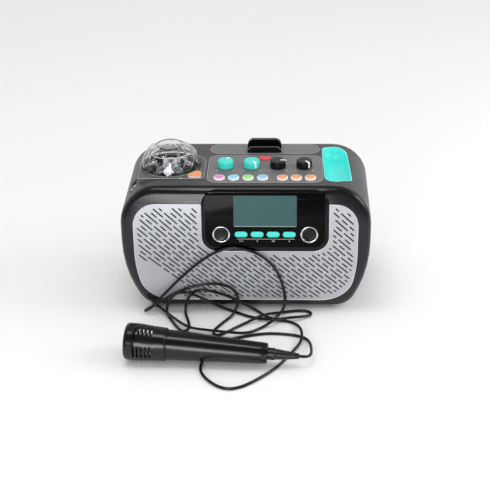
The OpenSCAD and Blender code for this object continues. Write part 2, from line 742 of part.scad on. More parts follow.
// Light rotor: a mirrored carousel of lamp cups on a shaft, and the motor that turns it
rotor_cups = 6;
rotor_z = platform_z0 + 9;
rotor_top = 13;
module light_rotor() {
    color([0.85, 0.86, 0.88]) translate([dome_x, dome_y, rotor_z]) {
        cylinder(r = 27, h = 2, $fn = 64);
        translate([0, 0, -2]) cylinder(r = 5, h = 5, $fn = 32);
        difference() {
            cylinder(r1 = 15, r2 = 10, h = rotor_top, $fn = 48);
            translate([0, 0, rotor_top - 4]) cylinder(r1 = 4, r2 = 8, h = 4.1, $fn = 48);
        }
        for (i = [0:rotor_cups - 1]) rotate(360 / rotor_cups * i) translate([20, 0, 1.5]) rotate([0, 28, 0])
            difference() {
                cylinder(r1 = 4, r2 = 6, h = 9, $fn = 24);
                translate([0, 0, 2]) cylinder(r1 = 2.6, r2 = 5, h = 7.1, $fn = 24);
            }
    }
}
motor_r = 11.5;
motor_flange_r = 18;
module light_motor() {
    color([0.6, 0.6, 0.62]) translate([dome_x, dome_y, 0]) {
        translate([0, 0, platform_z0 + 2]) cylinder(r = motor_flange_r, h = 2, $fn = 64);
        translate([0, 0, platform_z0 - 16]) cylinder(r = motor_r, h = 19, $fn = 64);
        translate([0, 0, platform_z0 + 3]) cylinder(r = 4, h = 3.7, $fn = 32);
    }
}

// Microphone rest: an insert in the right shoulder with a round-bottomed trough
rest_top_z = deck_z - 0.6;
rest_bottom_z = deck_z - rest_depth - 4;
module rest_shape(grow) {
    hull() {
        translate([113, 53]) circle(r = 8 + grow, $fn = 32);
        translate([125, 46]) circle(r = 16 + grow, $fn = 48);
        translate([131, -27]) circle(r = 14 + grow, $fn = 48);
        translate([121, -34]) circle(r = 14 + grow, $fn = 48);
    }
}
module rest_trough() {
    z = deck_z - rest_depth + rest_r;
    a = [123, 40, z];
    b = [126.6, -28, z];
    hull() {
        translate(a) sphere(r = rest_r, $fn = 40);
        translate(b) sphere(r = rest_r, $fn = 40);
    }
}
module microphone_rest() {
    color([0.3, 0.87, 0.82]) difference() {
        intersection() {
            translate([0, 0, rest_bottom_z]) linear_extrude(40) rest_shape(0);
            loft([flat_ring(0.4, seam_y - 1), flat_ring(0.4, back_y)]);
        }
        rest_trough();
    }
}

// Side jack panel in the left shoulder, its face square to a slope of 45 degrees
jack_at = [-154.6, -35, 176];
jack_r = 3.2;
jack_len = 14;
jack_y = -5;
module jack_place() {
    translate(jack_at) rotate([0, -45, 0]) children();
}
module jack_panel() {
    color([0.1, 0.1, 0.1]) jack_place() difference() {
        union() {
            translate([0, 0, -2.6]) rounded_slab(11, 31, 5.4, 1.4);
            translate([0, jack_y, -16]) cylinder(r = 5.2, h = 14, $fn = 48);
            translate([0, 7.2, -10]) rounded_slab(9, 9, 2, 8);
        }
        translate([0, jack_y, -1.2 - jack_len]) cylinder(r = jack_r, h = jack_len + 1, $fn = 48);
        translate([0, 7.2, -8]) rounded_slab(4.5, 6, 1, 20);
    }
}
module jack_pocket() {
    jack_place() {
        translate([0, 0, -2.8]) rounded_slab(11 + 2 * fit, 31 + 2 * fit, 5.4 + fit, 20);
        translate([0, 0, -30]) rounded_slab(11 - 0.2, 25, 5, 40);
    }
}

// Rear sockets, switch and battery bay
socket_at = [-118, 46];
socket_r = 3.3;
power_at = [-118, 84];
power_r = 3.1;
switch_at = [-78, 84];
module rear_bore(at, r, l) {
    translate([at[0], back_y + 1, at[1]]) rotate([90, 0, 0]) cylinder(r = r, h = l + 1, $fn = 48);
}
module socket(at, r, outer_r, l) {
    translate([at[0], back_y - 0.6, at[1]]) rotate([90, 0, 0]) difference() {
        union() {
            cylinder(r = outer_r, h = l + 2, $fn = 48);
            translate([0, 0, wall - 0.3]) cylinder(r = outer_r + 2, h = l - wall, $fn = 48);
        }
        translate([0, 0, -1]) cylinder(r = r, h = l + 1, $fn = 48);
    }
}
socket_len = 16;
power_len = 10;
module microphone_socket() {
    color([0.55, 0.55, 0.57]) socket(socket_at, socket_r, 6, socket_len);
}
module power_socket() {
    color([0.2, 0.2, 0.2]) socket(power_at, power_r, 5.4, power_len);
}
switch_slot = [14, 7];
module power_switch() {
    color([0.08, 0.08, 0.08]) {
        front_prism(back_y - 1.2, back_y + 1.6) translate(switch_at) rounded_rect(7, 5.6, 1.2);
        front_prism(back_y - wall - 2, back_y - wall - 0.4) translate(switch_at) square([22, 9], center = true);
        front_prism(back_y - wall - 1, back_y - 1) translate(switch_at) square([6, 5], center = true);
    }
}

door_x = 10;
door_z0 = 16;
door_t = 2.4;
bay_w = door_w - 10;
bay_h = door_h - 8;
bay_d = 62;
module bay_prism(grow, y0, y1) {
    front_prism(y0, y1) translate([door_x, door_z0 + door_h / 2]) rounded_rect(bay_w + 2 * grow, bay_h + 2 * grow, 3);
}
module battery_box() {
    color([0.15, 0.15, 0.15]) difference() {
        bay_prism(2, back_y - wall - bay_d - 2, back_y - wall);
        bay_prism(0, back_y - wall - bay_d, back_y + 5);
    }
}
// Spring and plate contacts at the two ends of the battery bay
module battery_contacts() {
    y = back_y - wall - bay_d;
    color([0.78, 0.76, 0.68]) for (s = [-1, 1], k = [0:2]) {
        z = door_z0 + door_h / 2 + (k - 1) * 13.5;
        translate([door_x + s * (bay_w / 2 - 0.5), y + 31, z]) rotate([0, 90, 0])
            cylinder(r = 5, h = 0.8, center = true, $fn = 40);
    }
}
// Battery door: it turns about a round edge at its foot; the finger grip is three ribs at its top
hinge_r = 1;
hinge_y = back_y - 0.9;
hinge_z = door_z0 + fit + hinge_r;
module battery_door() {
    w = door_w - 2 * fit;
    top = door_z0 + door_h - fit;
    color([0.16, 0.16, 0.17]) {
        front_prism(hinge_y - hinge_r, hinge_y + hinge_r) {
            translate([door_x - w / 2, hinge_z]) square([w, top - 4 - hinge_z]);
            translate([door_x, top - 6]) rounded_rect(w, 12, 4);
        }
        translate([door_x - w / 2 + 4, hinge_y, hinge_z]) rotate([0, 90, 0]) cylinder(r = hinge_r, h = w - 8, $fn = 32);
        for (i = [0:2]) translate([door_x - 12, hinge_y + 0.5, top - 5 - i * 3]) cube([24, 1.1, 1.2]);
    }
}

// Bosses on the back wall's inside carry the main board
boss_z = [100, 150];
boss_x = [-60, 60];
board_y = back_y - wall - 8;
module board_bosses() {
    for (x = boss_x, z = boss_z) translate([x, back_y - 1, z]) rotate([90, 0, 0])
        cylinder(d = 7, h = 9 - board_t + wall - 1, $fn = 32);
}
board_w = 150;
board_h = 76;
board_mid_z = 125;
module main_board() {
    color([0.1, 0.35, 0.2]) {
        front_prism(board_y - board_t, board_y) translate([0, board_mid_z]) difference() {
            rounded_rect(board_w, board_h, 3);
            for (x = boss_x, z = boss_z) translate([x, z - board_mid_z]) circle(d = 3.2, $fn = 32);
        }
        translate([-30, board_y - board_t - 8, 112]) cube([34, 8, 26]);
        translate([22, board_y - board_t - 4, 118]) cube([16, 4, 16]);
        for (x = [-58, -46]) translate([x, board_y - board_t, 122]) rotate([90, 0, 0]) cylinder(d = 9, h = 14, $fn = 32);
    }
}

// Rear shell: the deep hollow body with the deck's pockets and every hole in it
shell_steps = 3;
module shell_outer() {
    loft(concat([flat_ring(0, seam_y)],
        [for (k = [0:shell_steps]) let (a = 90 * k / shell_steps)
            flat_ring(back_round * (1 - cos(a)), back_y - back_round * (1 - sin(a)))]));
}
module shell_inner() {
    loft([flat_ring(wall, seam_y - 1), flat_ring(wall, back_y - back_round),
        flat_ring(back_round * 0.5 + wall * 0.5, back_y - wall)]);
}
module rear_shell() {
    color([0.36, 0.36, 0.37]) difference() {
        union() {
            difference() {
                shell_outer();
                shell_inner();
            }
            board_bosses();
        }
        below_skirt();
        translate([0, 0, deck_z - pocket_t]) linear_extrude(10) inlay_shapes(0);
        translate([0, 0, deck_z - 10]) linear_extrude(30) control_holes(0.3);
        translate([holder_x, holder_y, deck_z - 5]) linear_extrude(20)
            square([holder_base_w + 2 * fit, holder_d + 2 * fit], center = true);
        translate([0, 0, platform_z0 - 20]) linear_extrude(60) platform_shape(fit);
        translate([0, 0, rest_bottom_z - 20]) linear_extrude(60) rest_shape(fit);
        jack_pocket();
        rear_bore(socket_at, 6 + fit, 8);
        rear_bore(power_at, 5.4 + fit, 8);
        front_prism(back_y - 8, back_y + 1) translate(switch_at) rounded_rect(switch_slot[0], switch_slot[1], 1.5);
        front_prism(back_y - 2.2, back_y + 1) {
            translate([door_x, door_z0 + door_h / 2]) rounded_rect(door_w, door_h, 4);
            translate([door_x, door_z0 + door_h / 4]) square([door_w, door_h / 2], center = true);
        }
        bay_prism(0, back_y - 8, back_y + 1);
    }
}

// Base plate that closes the shells from below, and its rubber feet
base_inset = 0.2;
base_z0 = outline_bottom_z + base_inset;
foot_xs = [-95, 95];
foot_ys = [-46, 58];
module base_plate() {
    color([0.05, 0.05, 0.05]) difference() {
        intersection() {
            loft([flat_ring(base_inset, seam_y - 2), flat_ring(base_inset, back_y - 6)]);
            translate([-case_w, -200, -10]) cube([2 * case_w, 400, skirt_z + 10]);
        }
        for (x = foot_xs, y = foot_ys) translate([x, y, base_z0 - 1]) cylinder(r = 8 + fit, h = 2, $fn = 48);
    }
}
module rubber_feet() {
    color([0.1, 0.1, 0.1]) for (x = foot_xs, y = foot_ys) translate([x, y, 0]) rotate_extrude($fn = 48)
        polygon([[0, 0], [7, 0], [8, 1], [8, base_z0 + 1], [0, base_z0 + 1]]);
}
screw_xs = [-125, 125];
screw_zs = [110, 160];
module case_screws() {
    color([0.6, 0.6, 0.62]) for (x = screw_xs, z = screw_zs) translate([x, back_y, z]) rotate([90, 0, 0])
        rotate_extrude($fn = 32) polygon([[0, -0.6], [2, -0.9], [3, -0.4], [3, 0], [0, 0]]);
}

// Microphone along its own X axis from the front of the head; its head rests on the table and its handle on the cord
cap_l = 10.6;
head_rest = cap_l + 4;
over_cord_x = 107;
handle_seam = 76;
over_cord_r = handle_r1 - 0.7 - (handle_r1 - handle_r2 - 1) * (over_cord_x - handle_seam) / (mic_l - 3 - handle_seam);
mic_droop = atan2(mic_head_r - over_cord_r - cord_d - 0.1, over_cord_x - head_rest);
mic_turn = -5.3;
mic_at = [-155.5, -190.2, mic_head_r * cos(mic_droop) + head_rest * sin(mic_droop) + 0.05];
function mic_point(l) = mic_at
    + l * [cos(mic_droop) * cos(mic_turn), cos(mic_droop) * sin(mic_turn), -sin(mic_droop)];
module mic_place() {
    translate(mic_at) rotate([0, 0, mic_turn]) rotate([0, mic_droop, 0]) rotate([0, 90, 0]) children();
}
head_wall = 1.8;
head_r2 = mic_head_r - 3;
slots_x0 = 13;
slot_rows_mic = 5;
slot_step = 5.4;
head_panels = 6;
module mic_head() {
    color([0.09, 0.09, 0.09]) mic_place() difference() {
        rotate_extrude($fn = 96) polygon([[mic_head_r - head_wall, cap_l], [mic_head_r - 0.3, cap_l],
            [mic_head_r, cap_l + 4], [mic_head_r - 0.6, 24], [head_r2 + 0.6, 41], [head_r2, mic_head_l - 1],
            [head_r2 - 1, mic_head_l], [head_r2 - 4, mic_head_l], [head_r2 - 4, mic_head_l - 3],
            [head_r2 - head_wall, 44], [mic_head_r - 0.6 - head_wall, 24]]);
        for (k = [0:slot_rows_mic - 1], p = [0:head_panels - 1]) rotate(360 / head_panels * (p + 0.5))
            translate([12, -8.6, slots_x0 + k * slot_step]) cube([20, 17.2, 2.8]);
    }
}
module mic_cap() {
    color([0.09, 0.09, 0.09]) mic_place() rotate_extrude($fn = 96) polygon(concat([[0, 0.4], [mic_head_r - 9, 0]],
        [for (a = [-70:20:0]) [mic_head_r - 4 + 3.7 * cos(a), 4 + 4 * sin(a)]],
        [[mic_head_r - 0.3, cap_l - 0.05], [mic_head_r - head_wall - 0.5, cap_l - 0.05], [mic_head_r - 4, 5], [0, 4]]));
}
module mic_capsule() {
    color([0.2, 0.2, 0.2]) mic_place() {
        translate([0, 0, 16]) cylinder(r = 12, h = 20, $fn = 48);
        translate([0, 0, 36]) cylinder(r = 9, h = mic_head_l - 36 - 0.4, $fn = 48);
        translate([0, 0, mic_head_l - 2.9]) cylinder(r = head_r2 - 4.3, h = 2, $fn = 48);
    }
}
module mic_handle() {
    seam = handle_seam;
    end = mic_l;
    color([0.11, 0.11, 0.12]) mic_place() rotate_extrude($fn = 96) polygon([[0, mic_head_l + 0.05],
        [head_r2 - 2.4, mic_head_l + 0.05], [head_r2 - 2.4, mic_head_l + 2], [handle_r1 - 0.5, mic_head_l + 2],
        [handle_r1, mic_head_l + 2.6], [handle_r1 - 0.7, seam - 0.4], [handle_r1 - 1.1, seam - 0.4],
        [handle_r1 - 1.1, seam + 0.4], [handle_r1 - 0.7, seam + 0.4], [handle_r2 + 0.3, end - 3], [handle_r2, end - 2],
        [handle_r2, end], [handle_r2 - 2, end + 0.8], [0, end + 0.8]]);
}
boot_r1 = 8;
boot_r2 = 3.6;
boot_ribs = 9;
module mic_boot() {
    x0 = mic_l + 0.85;
    x1 = mic_l + boot_l;
    step = (boot_l - 16) / boot_ribs;
    color([0.09, 0.09, 0.09]) mic_place() {
        rotate_extrude($fn = 48) polygon([[0, x0], [boot_r1, x0], [boot_r1, x0 + 9], [boot_r1 - 1.4, x0 + 11],
            [boot_r2, x1], [0, x1]]);
        for (k = [0:boot_ribs - 1]) translate([0, 0, x0 + 12 + k * step])
            cylinder(r = boot_r1 - 0.6 - (boot_r1 - boot_r2 - 1.2) * k / boot_ribs, h = step * 0.5, $fn = 48);
    }
}

// Cord route between the microphone's boot and the plug's boot, chosen by eye along the photographed loops
route_points = [
    [86, -209, 15.5], [89, -201, 14], [86, -154, 3], [78, -144, 2], [38, -136, 2],
    [8, -141, 2], [-34, -160, 2], [-45, -176, 2], [-56, -217, 2], [-48, -239, 2],
    [-27, -259, 2], [-14, -262, 2], [3, -255, 2], [42, -217, 2], [59, -189, 2],
    [76, -158, 5], [77, -142, 8], [72, -118, 3], [63, -108, 2], [34, -99, 2],
    [8, -76, 4], [-35, -80, 30], [-68, -81, 36.5], [-80, -79, 26], [-87, -81, 4.5],
    [-78, -119, 2], [-79, -129, 2], [-85, -134, 2], [-92, -127, 2], [-113.5, -84, 2.5],
    [-113, -80, 7], [-102, -80, 28], [-83, -85, 35.5], [-73, -85, 31.5], [-46, -75, 10],
    [-32, -75, 3], [5, -95, 2], [36, -106, 5], [61, -105, 7.5], [91, -89, 2],
    [90, -82, 2], [80, -79, 2.5], [45, -86, 3], [23, -103, 10], [-2, -113, 2.5],
    [-38, -142, 2], [-45, -137, 2], [-18, -90, 4], [-13, -84, 13], [-12, -83, 27.5],
    [-20, -82, 40.5], [-45, -83.5, 49], [-84, -87, 42.5], [-108, -84, 27.5], [-139, -79, 5],
    [-144.5, -82, 3], [-144.5, -87, 5], [-137, -89, 9], [-116, -85, 31], [-88, -85, 61.5],
    [-57.8, -89.1, 91.3], [-33.7, -91.4, 107], [-11.8, -90.8, 110.2], [17.1, -90.6, 101.1], [39, -87.8, 78.3],
    [49, -84, 52.5], [54, -78, 19.5], [53, -82, 11.5], [41, -112, 11], [25, -120, 2.5],
    [2, -137, 3.5], [-26, -144, 9.5], [-57, -133, 5.5], [-78, -129, 7], [-116, -89, 7.5],
    [-126.5, -77, 8.5], [-133, -70, 4], [-136, -56, 2], [-137, 20, 2], [-137, 98, 2],
    [-134, 118, 5], [-128, 132, 14], [-121, 136, 28], [-118, 131, 40]
];
cord_sides = 8;
module tube(path, d) {
    n = len(path);
    m = cord_sides;
    tangents = [for (i = [0:n - 1]) let (t = path[min(i + 1, n - 1)] - path[max(i - 1, 0)]) t / norm(t)];
    rings = [for (i = [0:n - 1])
        let (t = tangents[i], a = cross(t, abs(t[2]) > 0.9 ? [0, 1, 0] : [0, 0, 1]), u = a / norm(a), v = cross(t, u))
        [for (k = [0:m - 1]) path[i] + d / 2 * (cos(360 * k / m) * u + sin(360 * k / m) * v)]];
    sides = [for (i = [0:n - 2], k = [0:m - 1], f = [0:1])
        let (a = i * m + k, b = i * m + (k + 1) % m)
        f == 0 ? [a, b + m, b] : [a, a + m, b + m]];
    polyhedron(points = [for (r = rings) each r], faces = concat(sides, [[for (k = [0:m - 1]) k]],
        [[for (k = [m - 1:-1:0]) (n - 1) * m + k]]));
}
// Plug in the rear socket, with its metal pin, sleeve and ribbed boot
plug_y = back_y - 0.3;
plug_l = 22;
plug_boot_l = 16;
module plug_place() {
    translate([socket_at[0], plug_y, socket_at[1]]) rotate([-90, 0, 0]) children();
}
// The whole route: out of the one boot along its axis, and into the other
boot_end = mic_l + boot_l;
plug_end_y = plug_y + plug_l + plug_boot_l;
route = concat(
    [mic_point(boot_end), mic_point(boot_end + 7)],
    route_points,
    [for (d = [7, 0]) [socket_at[0], plug_end_y + d, socket_at[1]]]
);
module mic_cord() {
    color([0.06, 0.06, 0.06]) tube(route, cord_d);
}

module cord_plug() {
    color([0.75, 0.76, 0.76]) plug_place() {
        translate([0, 0, -14]) cylinder(r = 3.05, h = 15, $fn = 48);
        translate([0, 0, -15.2]) cylinder(r1 = 1.6, r2 = 3.05, h = 1.3, $fn = 48);
    }
    color([0.1, 0.1, 0.1]) plug_place() cylinder(r = 5.4, h = plug_l, $fn = 48);
}
module plug_boot() {
    color([0.08, 0.08, 0.08]) plug_place() translate([0, 0, plug_l]) {
        cylinder(r1 = 4.6, r2 = 3, h = plug_boot_l, $fn = 48);
        for (k = [0:3]) translate([0, 0, 2 + k * 3.2]) cylinder(r = 4.7 - 0.3 * k, h = 1.5, $fn = 48);
    }
}

rear_shell();
front_bezel();
speaker_grille();
speaker_baffle();
pod_housing();
pod_panel();
lcd_glass();
display_board();
menu_button_1();
menu_button_2();
menu_button_3();
menu_button_4();
left_key();
right_key();
key_rings();
control_panel();
teal_knob_left();
teal_knob_right();
black_knob_left();
black_knob_right();
pink_button();
blue_button();
green_button();
sky_button();
orange_button_1();
orange_button_2();
orange_button_3();
record_button();
light_button();
dome_platform();
dome_lens();
light_rotor();
light_motor();
tablet_ledge();
tablet_holder();
microphone_rest();
jack_panel();
microphone_socket();
power_socket();
power_switch();
battery_box();
battery_contacts();
battery_door();
base_plate();
rubber_feet();
left_speaker();
right_speaker();
main_board();
control_board();
case_screws();
mic_head();
mic_cap();
mic_capsule();
mic_handle();
mic_boot();
mic_cord();
cord_plug();
plug_boot();
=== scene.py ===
# %% [markdown]
# A table-top karaoke speaker in cells. Its CAD nodes are loaded as a fixed frame, in metres. Each visible part then
# gets a finish, and the thin trim that the CAD leaves out is added: rims, pointers, caps and marks. Every new piece
# rides on the body that carries it, so knobs, buttons, the light and the battery door still move.

# %% Start
import json
import bpy
import bmesh
import numpy as np
from mathutils import Matrix


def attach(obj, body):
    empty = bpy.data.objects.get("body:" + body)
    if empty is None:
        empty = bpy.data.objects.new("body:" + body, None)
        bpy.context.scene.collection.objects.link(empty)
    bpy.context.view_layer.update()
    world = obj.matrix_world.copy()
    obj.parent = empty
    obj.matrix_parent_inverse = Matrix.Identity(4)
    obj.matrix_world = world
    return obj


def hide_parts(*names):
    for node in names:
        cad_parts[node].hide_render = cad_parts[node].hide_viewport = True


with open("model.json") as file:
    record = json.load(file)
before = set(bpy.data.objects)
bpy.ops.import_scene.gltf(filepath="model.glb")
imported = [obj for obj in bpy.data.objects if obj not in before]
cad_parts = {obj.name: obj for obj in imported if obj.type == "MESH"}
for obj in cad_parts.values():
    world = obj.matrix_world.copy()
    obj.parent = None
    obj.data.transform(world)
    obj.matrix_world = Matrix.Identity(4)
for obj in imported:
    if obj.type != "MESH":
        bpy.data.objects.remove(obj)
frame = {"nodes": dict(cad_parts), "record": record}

MM = 0.001
nodes = frame["nodes"]
body_of = {n: b for b, members in frame["record"]["behaviour"]["bodies"].items() for n in members}
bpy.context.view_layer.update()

# %% [markdown]
# The photograph was taken from a little above and almost straight in front. The camera stands where a
# least-squares fit on the seam, the row of buttons and the level deck put it, with the small turn that the
# picture shows. Its focal length is 1160 pixels on a picture 490 pixels wide.

# %% Camera
elevation, azimuth, roll = np.radians([29.86, 2.81, 1.17])
forward = np.array([-np.sin(azimuth) * np.cos(elevation), np.cos(azimuth) * np.cos(elevation), -np.sin(elevation)])
level_right = np.cross(forward, [0, 0, 1])
level_right /= np.linalg.norm(level_right)
level_up = np.cross(level_right, forward)
right = np.cos(roll) * level_right - np.sin(roll) * level_up
up = np.sin(roll) * level_right + np.cos(roll) * level_up
aim = np.array([-1.5, -64, 99.8]) * MM
distance, sensor, focal_pixels, picture_pixels = 1.6, 36, 1160, 490
stand = aim - distance * forward
camera_data = bpy.data.cameras.new("camera")
camera_data.sensor_width = sensor
camera_data.lens = sensor * focal_pixels / picture_pixels
camera = bpy.data.objects.new("camera", camera_data)
camera.matrix_world = Matrix(np.vstack([np.c_[right, up, -forward, stand], [0, 0, 0, 1]]).tolist())
bpy.context.scene.collection.objects.link(camera)
bpy.context.scene.camera = camera
bpy.context.scene.view_settings.view_transform = "Standard"
print("camera stands at", stand.round(3))

# %% [markdown]
# Every finish on this speaker is moulded plastic, paint, rubber or metal. One helper makes them: a base colour
# that wanders a little, a roughness that wanders with it, and a fine grain that bends the light. The pattern
# reads Object coordinates, so its scale is in real metres on every piece.

# %% Finish helper
def linear(rgb):
    """Screen values from 0 to 255 turned to linear light: the sRGB curve, undone."""
    v = np.array(rgb, float) / 255
    return np.where(v > 0.04045, ((v + 0.055) / 1.055) ** 2.4, v / 12.92)


def finish(name, rgb, rough=0.4, metal=0.0, wander=0.1, grain=0.5, relief=0.02, specular=0.5, hatch=0.0):
    """A plastic, paint or metal. wander is how far colour drifts; grain is the size in mm of a relief of relief mm.

    hatch is the pitch in mm of two crossed sets of fine ribs, as on a moulded deck.
    """
    m = bpy.data.materials.new(name)
    m.use_nodes = True
    tree = m.node_tree
    shader = tree.nodes["Principled BSDF"]
    shader.inputs["Metallic"].default_value = metal
    shader.inputs["Specular IOR Level"].default_value = specular

    def node(kind, **values):
        """A node of this finish with its socket values."""
        n = tree.nodes.new(kind)
        for key, value in values.items():
            n.inputs[key].default_value = value
        return n

    place = tree.nodes.new("ShaderNodeTexCoord").outputs["Object"]
    cloud = node("ShaderNodeTexNoise", Scale=60.0, Detail=6.0, Roughness=0.6)
    tree.links.new(place, cloud.inputs["Vector"])
    tone = tree.nodes.new("ShaderNodeMix")
    tone.data_type = "RGBA"
    base = linear(rgb)
    tone.inputs["A"].default_value = (*(base * (1 - wander)).tolist(), 1)
    tone.inputs["B"].default_value = (*np.minimum(base * (1 + wander), 1).tolist(), 1)
    tree.links.new(cloud.outputs["Fac"], tone.inputs["Factor"])
    tree.links.new(tone.outputs["Result"], shader.inputs["Base Color"])
    sheen = node("ShaderNodeMapRange", **{"To Min": max(rough - 0.05, 0.02), "To Max": rough + 0.05})
    tree.links.new(cloud.outputs["Fac"], sheen.inputs["Value"])
    tree.links.new(sheen.outputs["Result"], shader.inputs["Roughness"])
    fine = node("ShaderNodeTexNoise", Scale=1 / (grain * MM), Detail=3.0)
    tree.links.new(place, fine.inputs["Vector"])
    bump = node("ShaderNodeBump", Strength=1.0, Distance=relief * MM)
    tree.links.new(fine.outputs["Fac"], bump.inputs["Height"])
    last = bump
    wave_rate = 20  # a wave texture turns by 20 radians per metre at a scale of 1
    for turn in (0.7, -0.7) if hatch else ():
        turned_place = node("ShaderNodeMapping", Rotation=(0.0, 0.0, turn))
        ribs = node("ShaderNodeTexWave", Scale=2 * np.pi / (wave_rate * hatch * MM))
        tree.links.new(place, turned_place.inputs["Vector"])
        tree.links.new(turned_place.outputs["Vector"], ribs.inputs["Vector"])
        ridge = node("ShaderNodeBump", Strength=0.8, Distance=0.06 * MM)
        tree.links.new(ribs.outputs["Fac"], ridge.inputs["Height"])
        tree.links.new(last.outputs["Normal"], ridge.inputs["Normal"])
        last = ridge
    tree.links.new(last.outputs["Normal"], shader.inputs["Normal"])
    return m


# %% [markdown]
# The black bezel is satin and takes a soft light along its rounded edge. The deck is a dark grey plastic with
# a fine crossed rib pattern, the inlays are a paler grey, and the grille is painted silver. The pod is gloss
# black, and the controls are teal, white and pastel plastics.

# %% Finishes of this speaker
bezel_black = finish("bezel_black", (13, 13, 17), rough=0.24, specular=0.45, relief=0.003)
deck_grey = finish("deck_grey", (62, 61, 64), rough=0.42, specular=0.4, wander=0.12, relief=0.02, hatch=1.7)
inlay_grey = finish("inlay_grey", (108, 107, 109), rough=0.42, wander=0.06)
# A lighter grey for the thin edge beads: a painted highlight.
grey_painted_highlight = finish("grey_painted_highlight", (168, 168, 170), rough=0.35, wander=0.05)
grille_silver = finish("grille_silver", (180, 182, 187), rough=0.36, metal=0.2, wander=0.05, relief=0.01)
# A lighter silver for the grille's rim: a painted highlight.
silver_painted_highlight = finish("silver_painted_highlight", (226, 228, 231), rough=0.3, metal=0.2, wander=0.04, relief=0.005)
pod_black = finish("pod_black", (8, 8, 10), rough=0.16, specular=0.25, relief=0.002)
panel_gloss = finish("panel_gloss", (7, 7, 9), rough=0.08, specular=0.06, relief=0.001, grain=3)
# Black for the inner parts; on the grille's slot walls it is painted shade.
inner_black = finish("inner_black", (9, 9, 10), rough=0.6, specular=0.2)
base_black = finish("base_black", (12, 12, 13), rough=0.45, specular=0.2)
holder_black = finish("holder_black", (9, 9, 10), rough=0.16, specular=0.4, relief=0.003)
microphone_black = finish("microphone_black", (9, 9, 11), rough=0.22, specular=0.45, relief=0.002)
cord_rubber = finish("cord_rubber", (11, 11, 13), rough=0.24, specular=0.5, relief=0.002)
soft_rubber = finish("soft_rubber", (14, 14, 15), rough=0.34, specular=0.5, relief=0.006)
# A warm grey for the microphone capsule: a painted sheen, lighter than its black foam.
capsule_painted_sheen = finish("capsule_painted_sheen", (70, 60, 55), rough=0.8, grain=0.8, relief=0.2)
platform_grey = finish("platform_grey", (84, 83, 86), rough=0.42, wander=0.08)
knob_black = finish("knob_black", (10, 10, 11), rough=0.3, specular=0.3, relief=0.006)
key_black = finish("key_black", (8, 8, 9), rough=0.16, specular=0.25, relief=0.003)
# A paler teal for the rest's rim bead: a painted highlight.
teal_painted_highlight = finish("teal_painted_highlight", (150, 245, 235), rough=0.28, wander=0.03)
control_teal = finish("control_teal", (60, 214, 200), rough=0.36, wander=0.05)
rest_teal = finish("rest_teal", (60, 226, 218), rough=0.34, wander=0.04, relief=0.002)
white_plastic = finish("white_plastic", (235, 235, 233), rough=0.35, wander=0.03)
white_print = finish("white_print", (238, 238, 238), rough=0.5, wander=0.02, relief=0.002)
chrome = finish("chrome", (215, 222, 222), rough=0.12, metal=1.0, wander=0.04, relief=0.002)
steel = finish("steel", (150, 152, 156), rough=0.3, metal=1.0, wander=0.08)
board_green = finish("board_green", (22, 86, 52), rough=0.45, wander=0.2)
cone_paper = finish("cone_paper", (34, 34, 36), rough=0.8, grain=1.2, relief=0.1)
# A light green-grey for the strip along the display's lower edge: a painted highlight.
display_painted_highlight = finish("display_painted_highlight", (126, 152, 152), rough=0.3, wander=0.03, relief=0.002)
display_green = finish("display_green", (62, 93, 93), rough=0.2, wander=0.04, relief=0.002, specular=0.1)
lamp_mirror = finish("lamp_mirror", (214, 216, 218), rough=0.24, metal=1.0, wander=0.03, relief=0.004)
pastels = {
    "pink_button": finish("pink_cap", (226, 132, 205), rough=0.36, wander=0.04),
    "blue_button": finish("blue_cap", (128, 208, 228), rough=0.36, wander=0.04),
    "green_button": finish("green_cap", (146, 222, 112), rough=0.36, wander=0.04),
    "sky_button": finish("sky_cap", (150, 192, 238), rough=0.36, wander=0.04),
    "orange_button_1": finish("orange_cap", (244, 152, 98), rough=0.36, wander=0.04),
    "record_button": finish("record_red", (232, 62, 80), rough=0.34, wander=0.04),
}
pastels["orange_button_2"] = pastels["orange_button_3"] = pastels["light_button"] = pastels["orange_button_1"]
print(len(bpy.data.materials), "finishes")

# %% [markdown]
# The dome is one clear moulding, so its finish lets the light through. A very slight roughness and a faint
# ripple keep it from looking like cut crystal.

# %% Clear dome finish
clear_dome = finish("clear_dome", (252, 253, 254), rough=0.03, wander=0.01, grain=4, relief=0.001)
clear_shader = clear_dome.node_tree.nodes["Principled BSDF"]
clear_shader.inputs["Transmission Weight"].default_value = 1.0
clear_shader.inputs["IOR"].default_value = 1.46
print("clear dome: index of refraction 1.46")

# %% [markdown]
# Three soft boxes light the speaker: one above, which draws the bright line along the microphone, one low in
# front, which gives the bezel its sheen, and one at the right. A lamp could be aimed by hand with angles. Here it
# is given two points, where it stands and what it faces, which are easier to read and to change.

# %% Lamps
def soft_lamp(name, at, toward, size, power):
    """A rectangular area lamp that looks from one point toward another, in metres and watts."""
    data = bpy.data.lights.new(name, "AREA")
    data.shape = "RECTANGLE"
    data.size, data.size_y = size
    data.energy = power
    lamp = bpy.data.objects.new(name, data)
    back = np.array(at, float) - np.array(toward, float)
    back /= np.linalg.norm(back)
    side = np.cross([0, 1, 0.01], back)
    side /= np.linalg.norm(side)
    lamp.matrix_world = Matrix(np.vstack([np.c_[side, np.cross(back, side), back, at], [0, 0, 0, 1]]).tolist())
    bpy.context.scene.collection.objects.link(lamp)
    return lamp


soft_lamp("lamp_over", (-0.16, -0.25, 1.9), (-0.05, -0.1, 0.1), (0.7, 0.45), 6)
soft_lamp("lamp_front", (-0.26, -1.7, 0.42), (-0.05, -0.05, 0.12), (0.36, 0.75), 8)
soft_lamp("lamp_side", (1.5, -0.1, 1.0), (0, 0, 0.1), (0.8, 0.8), 8)
print("lamps:", len(bpy.data.lights))

# %% [markdown]
# The room fills the shadows with even light. Rays that look straight at it find it white. In a mirror or through
# clear plastic the sweep behind the table stays white, and the ceiling and the front are dimmer, so gloss has
# something to show. The two map ranges turn a ray's direction into that brightness.

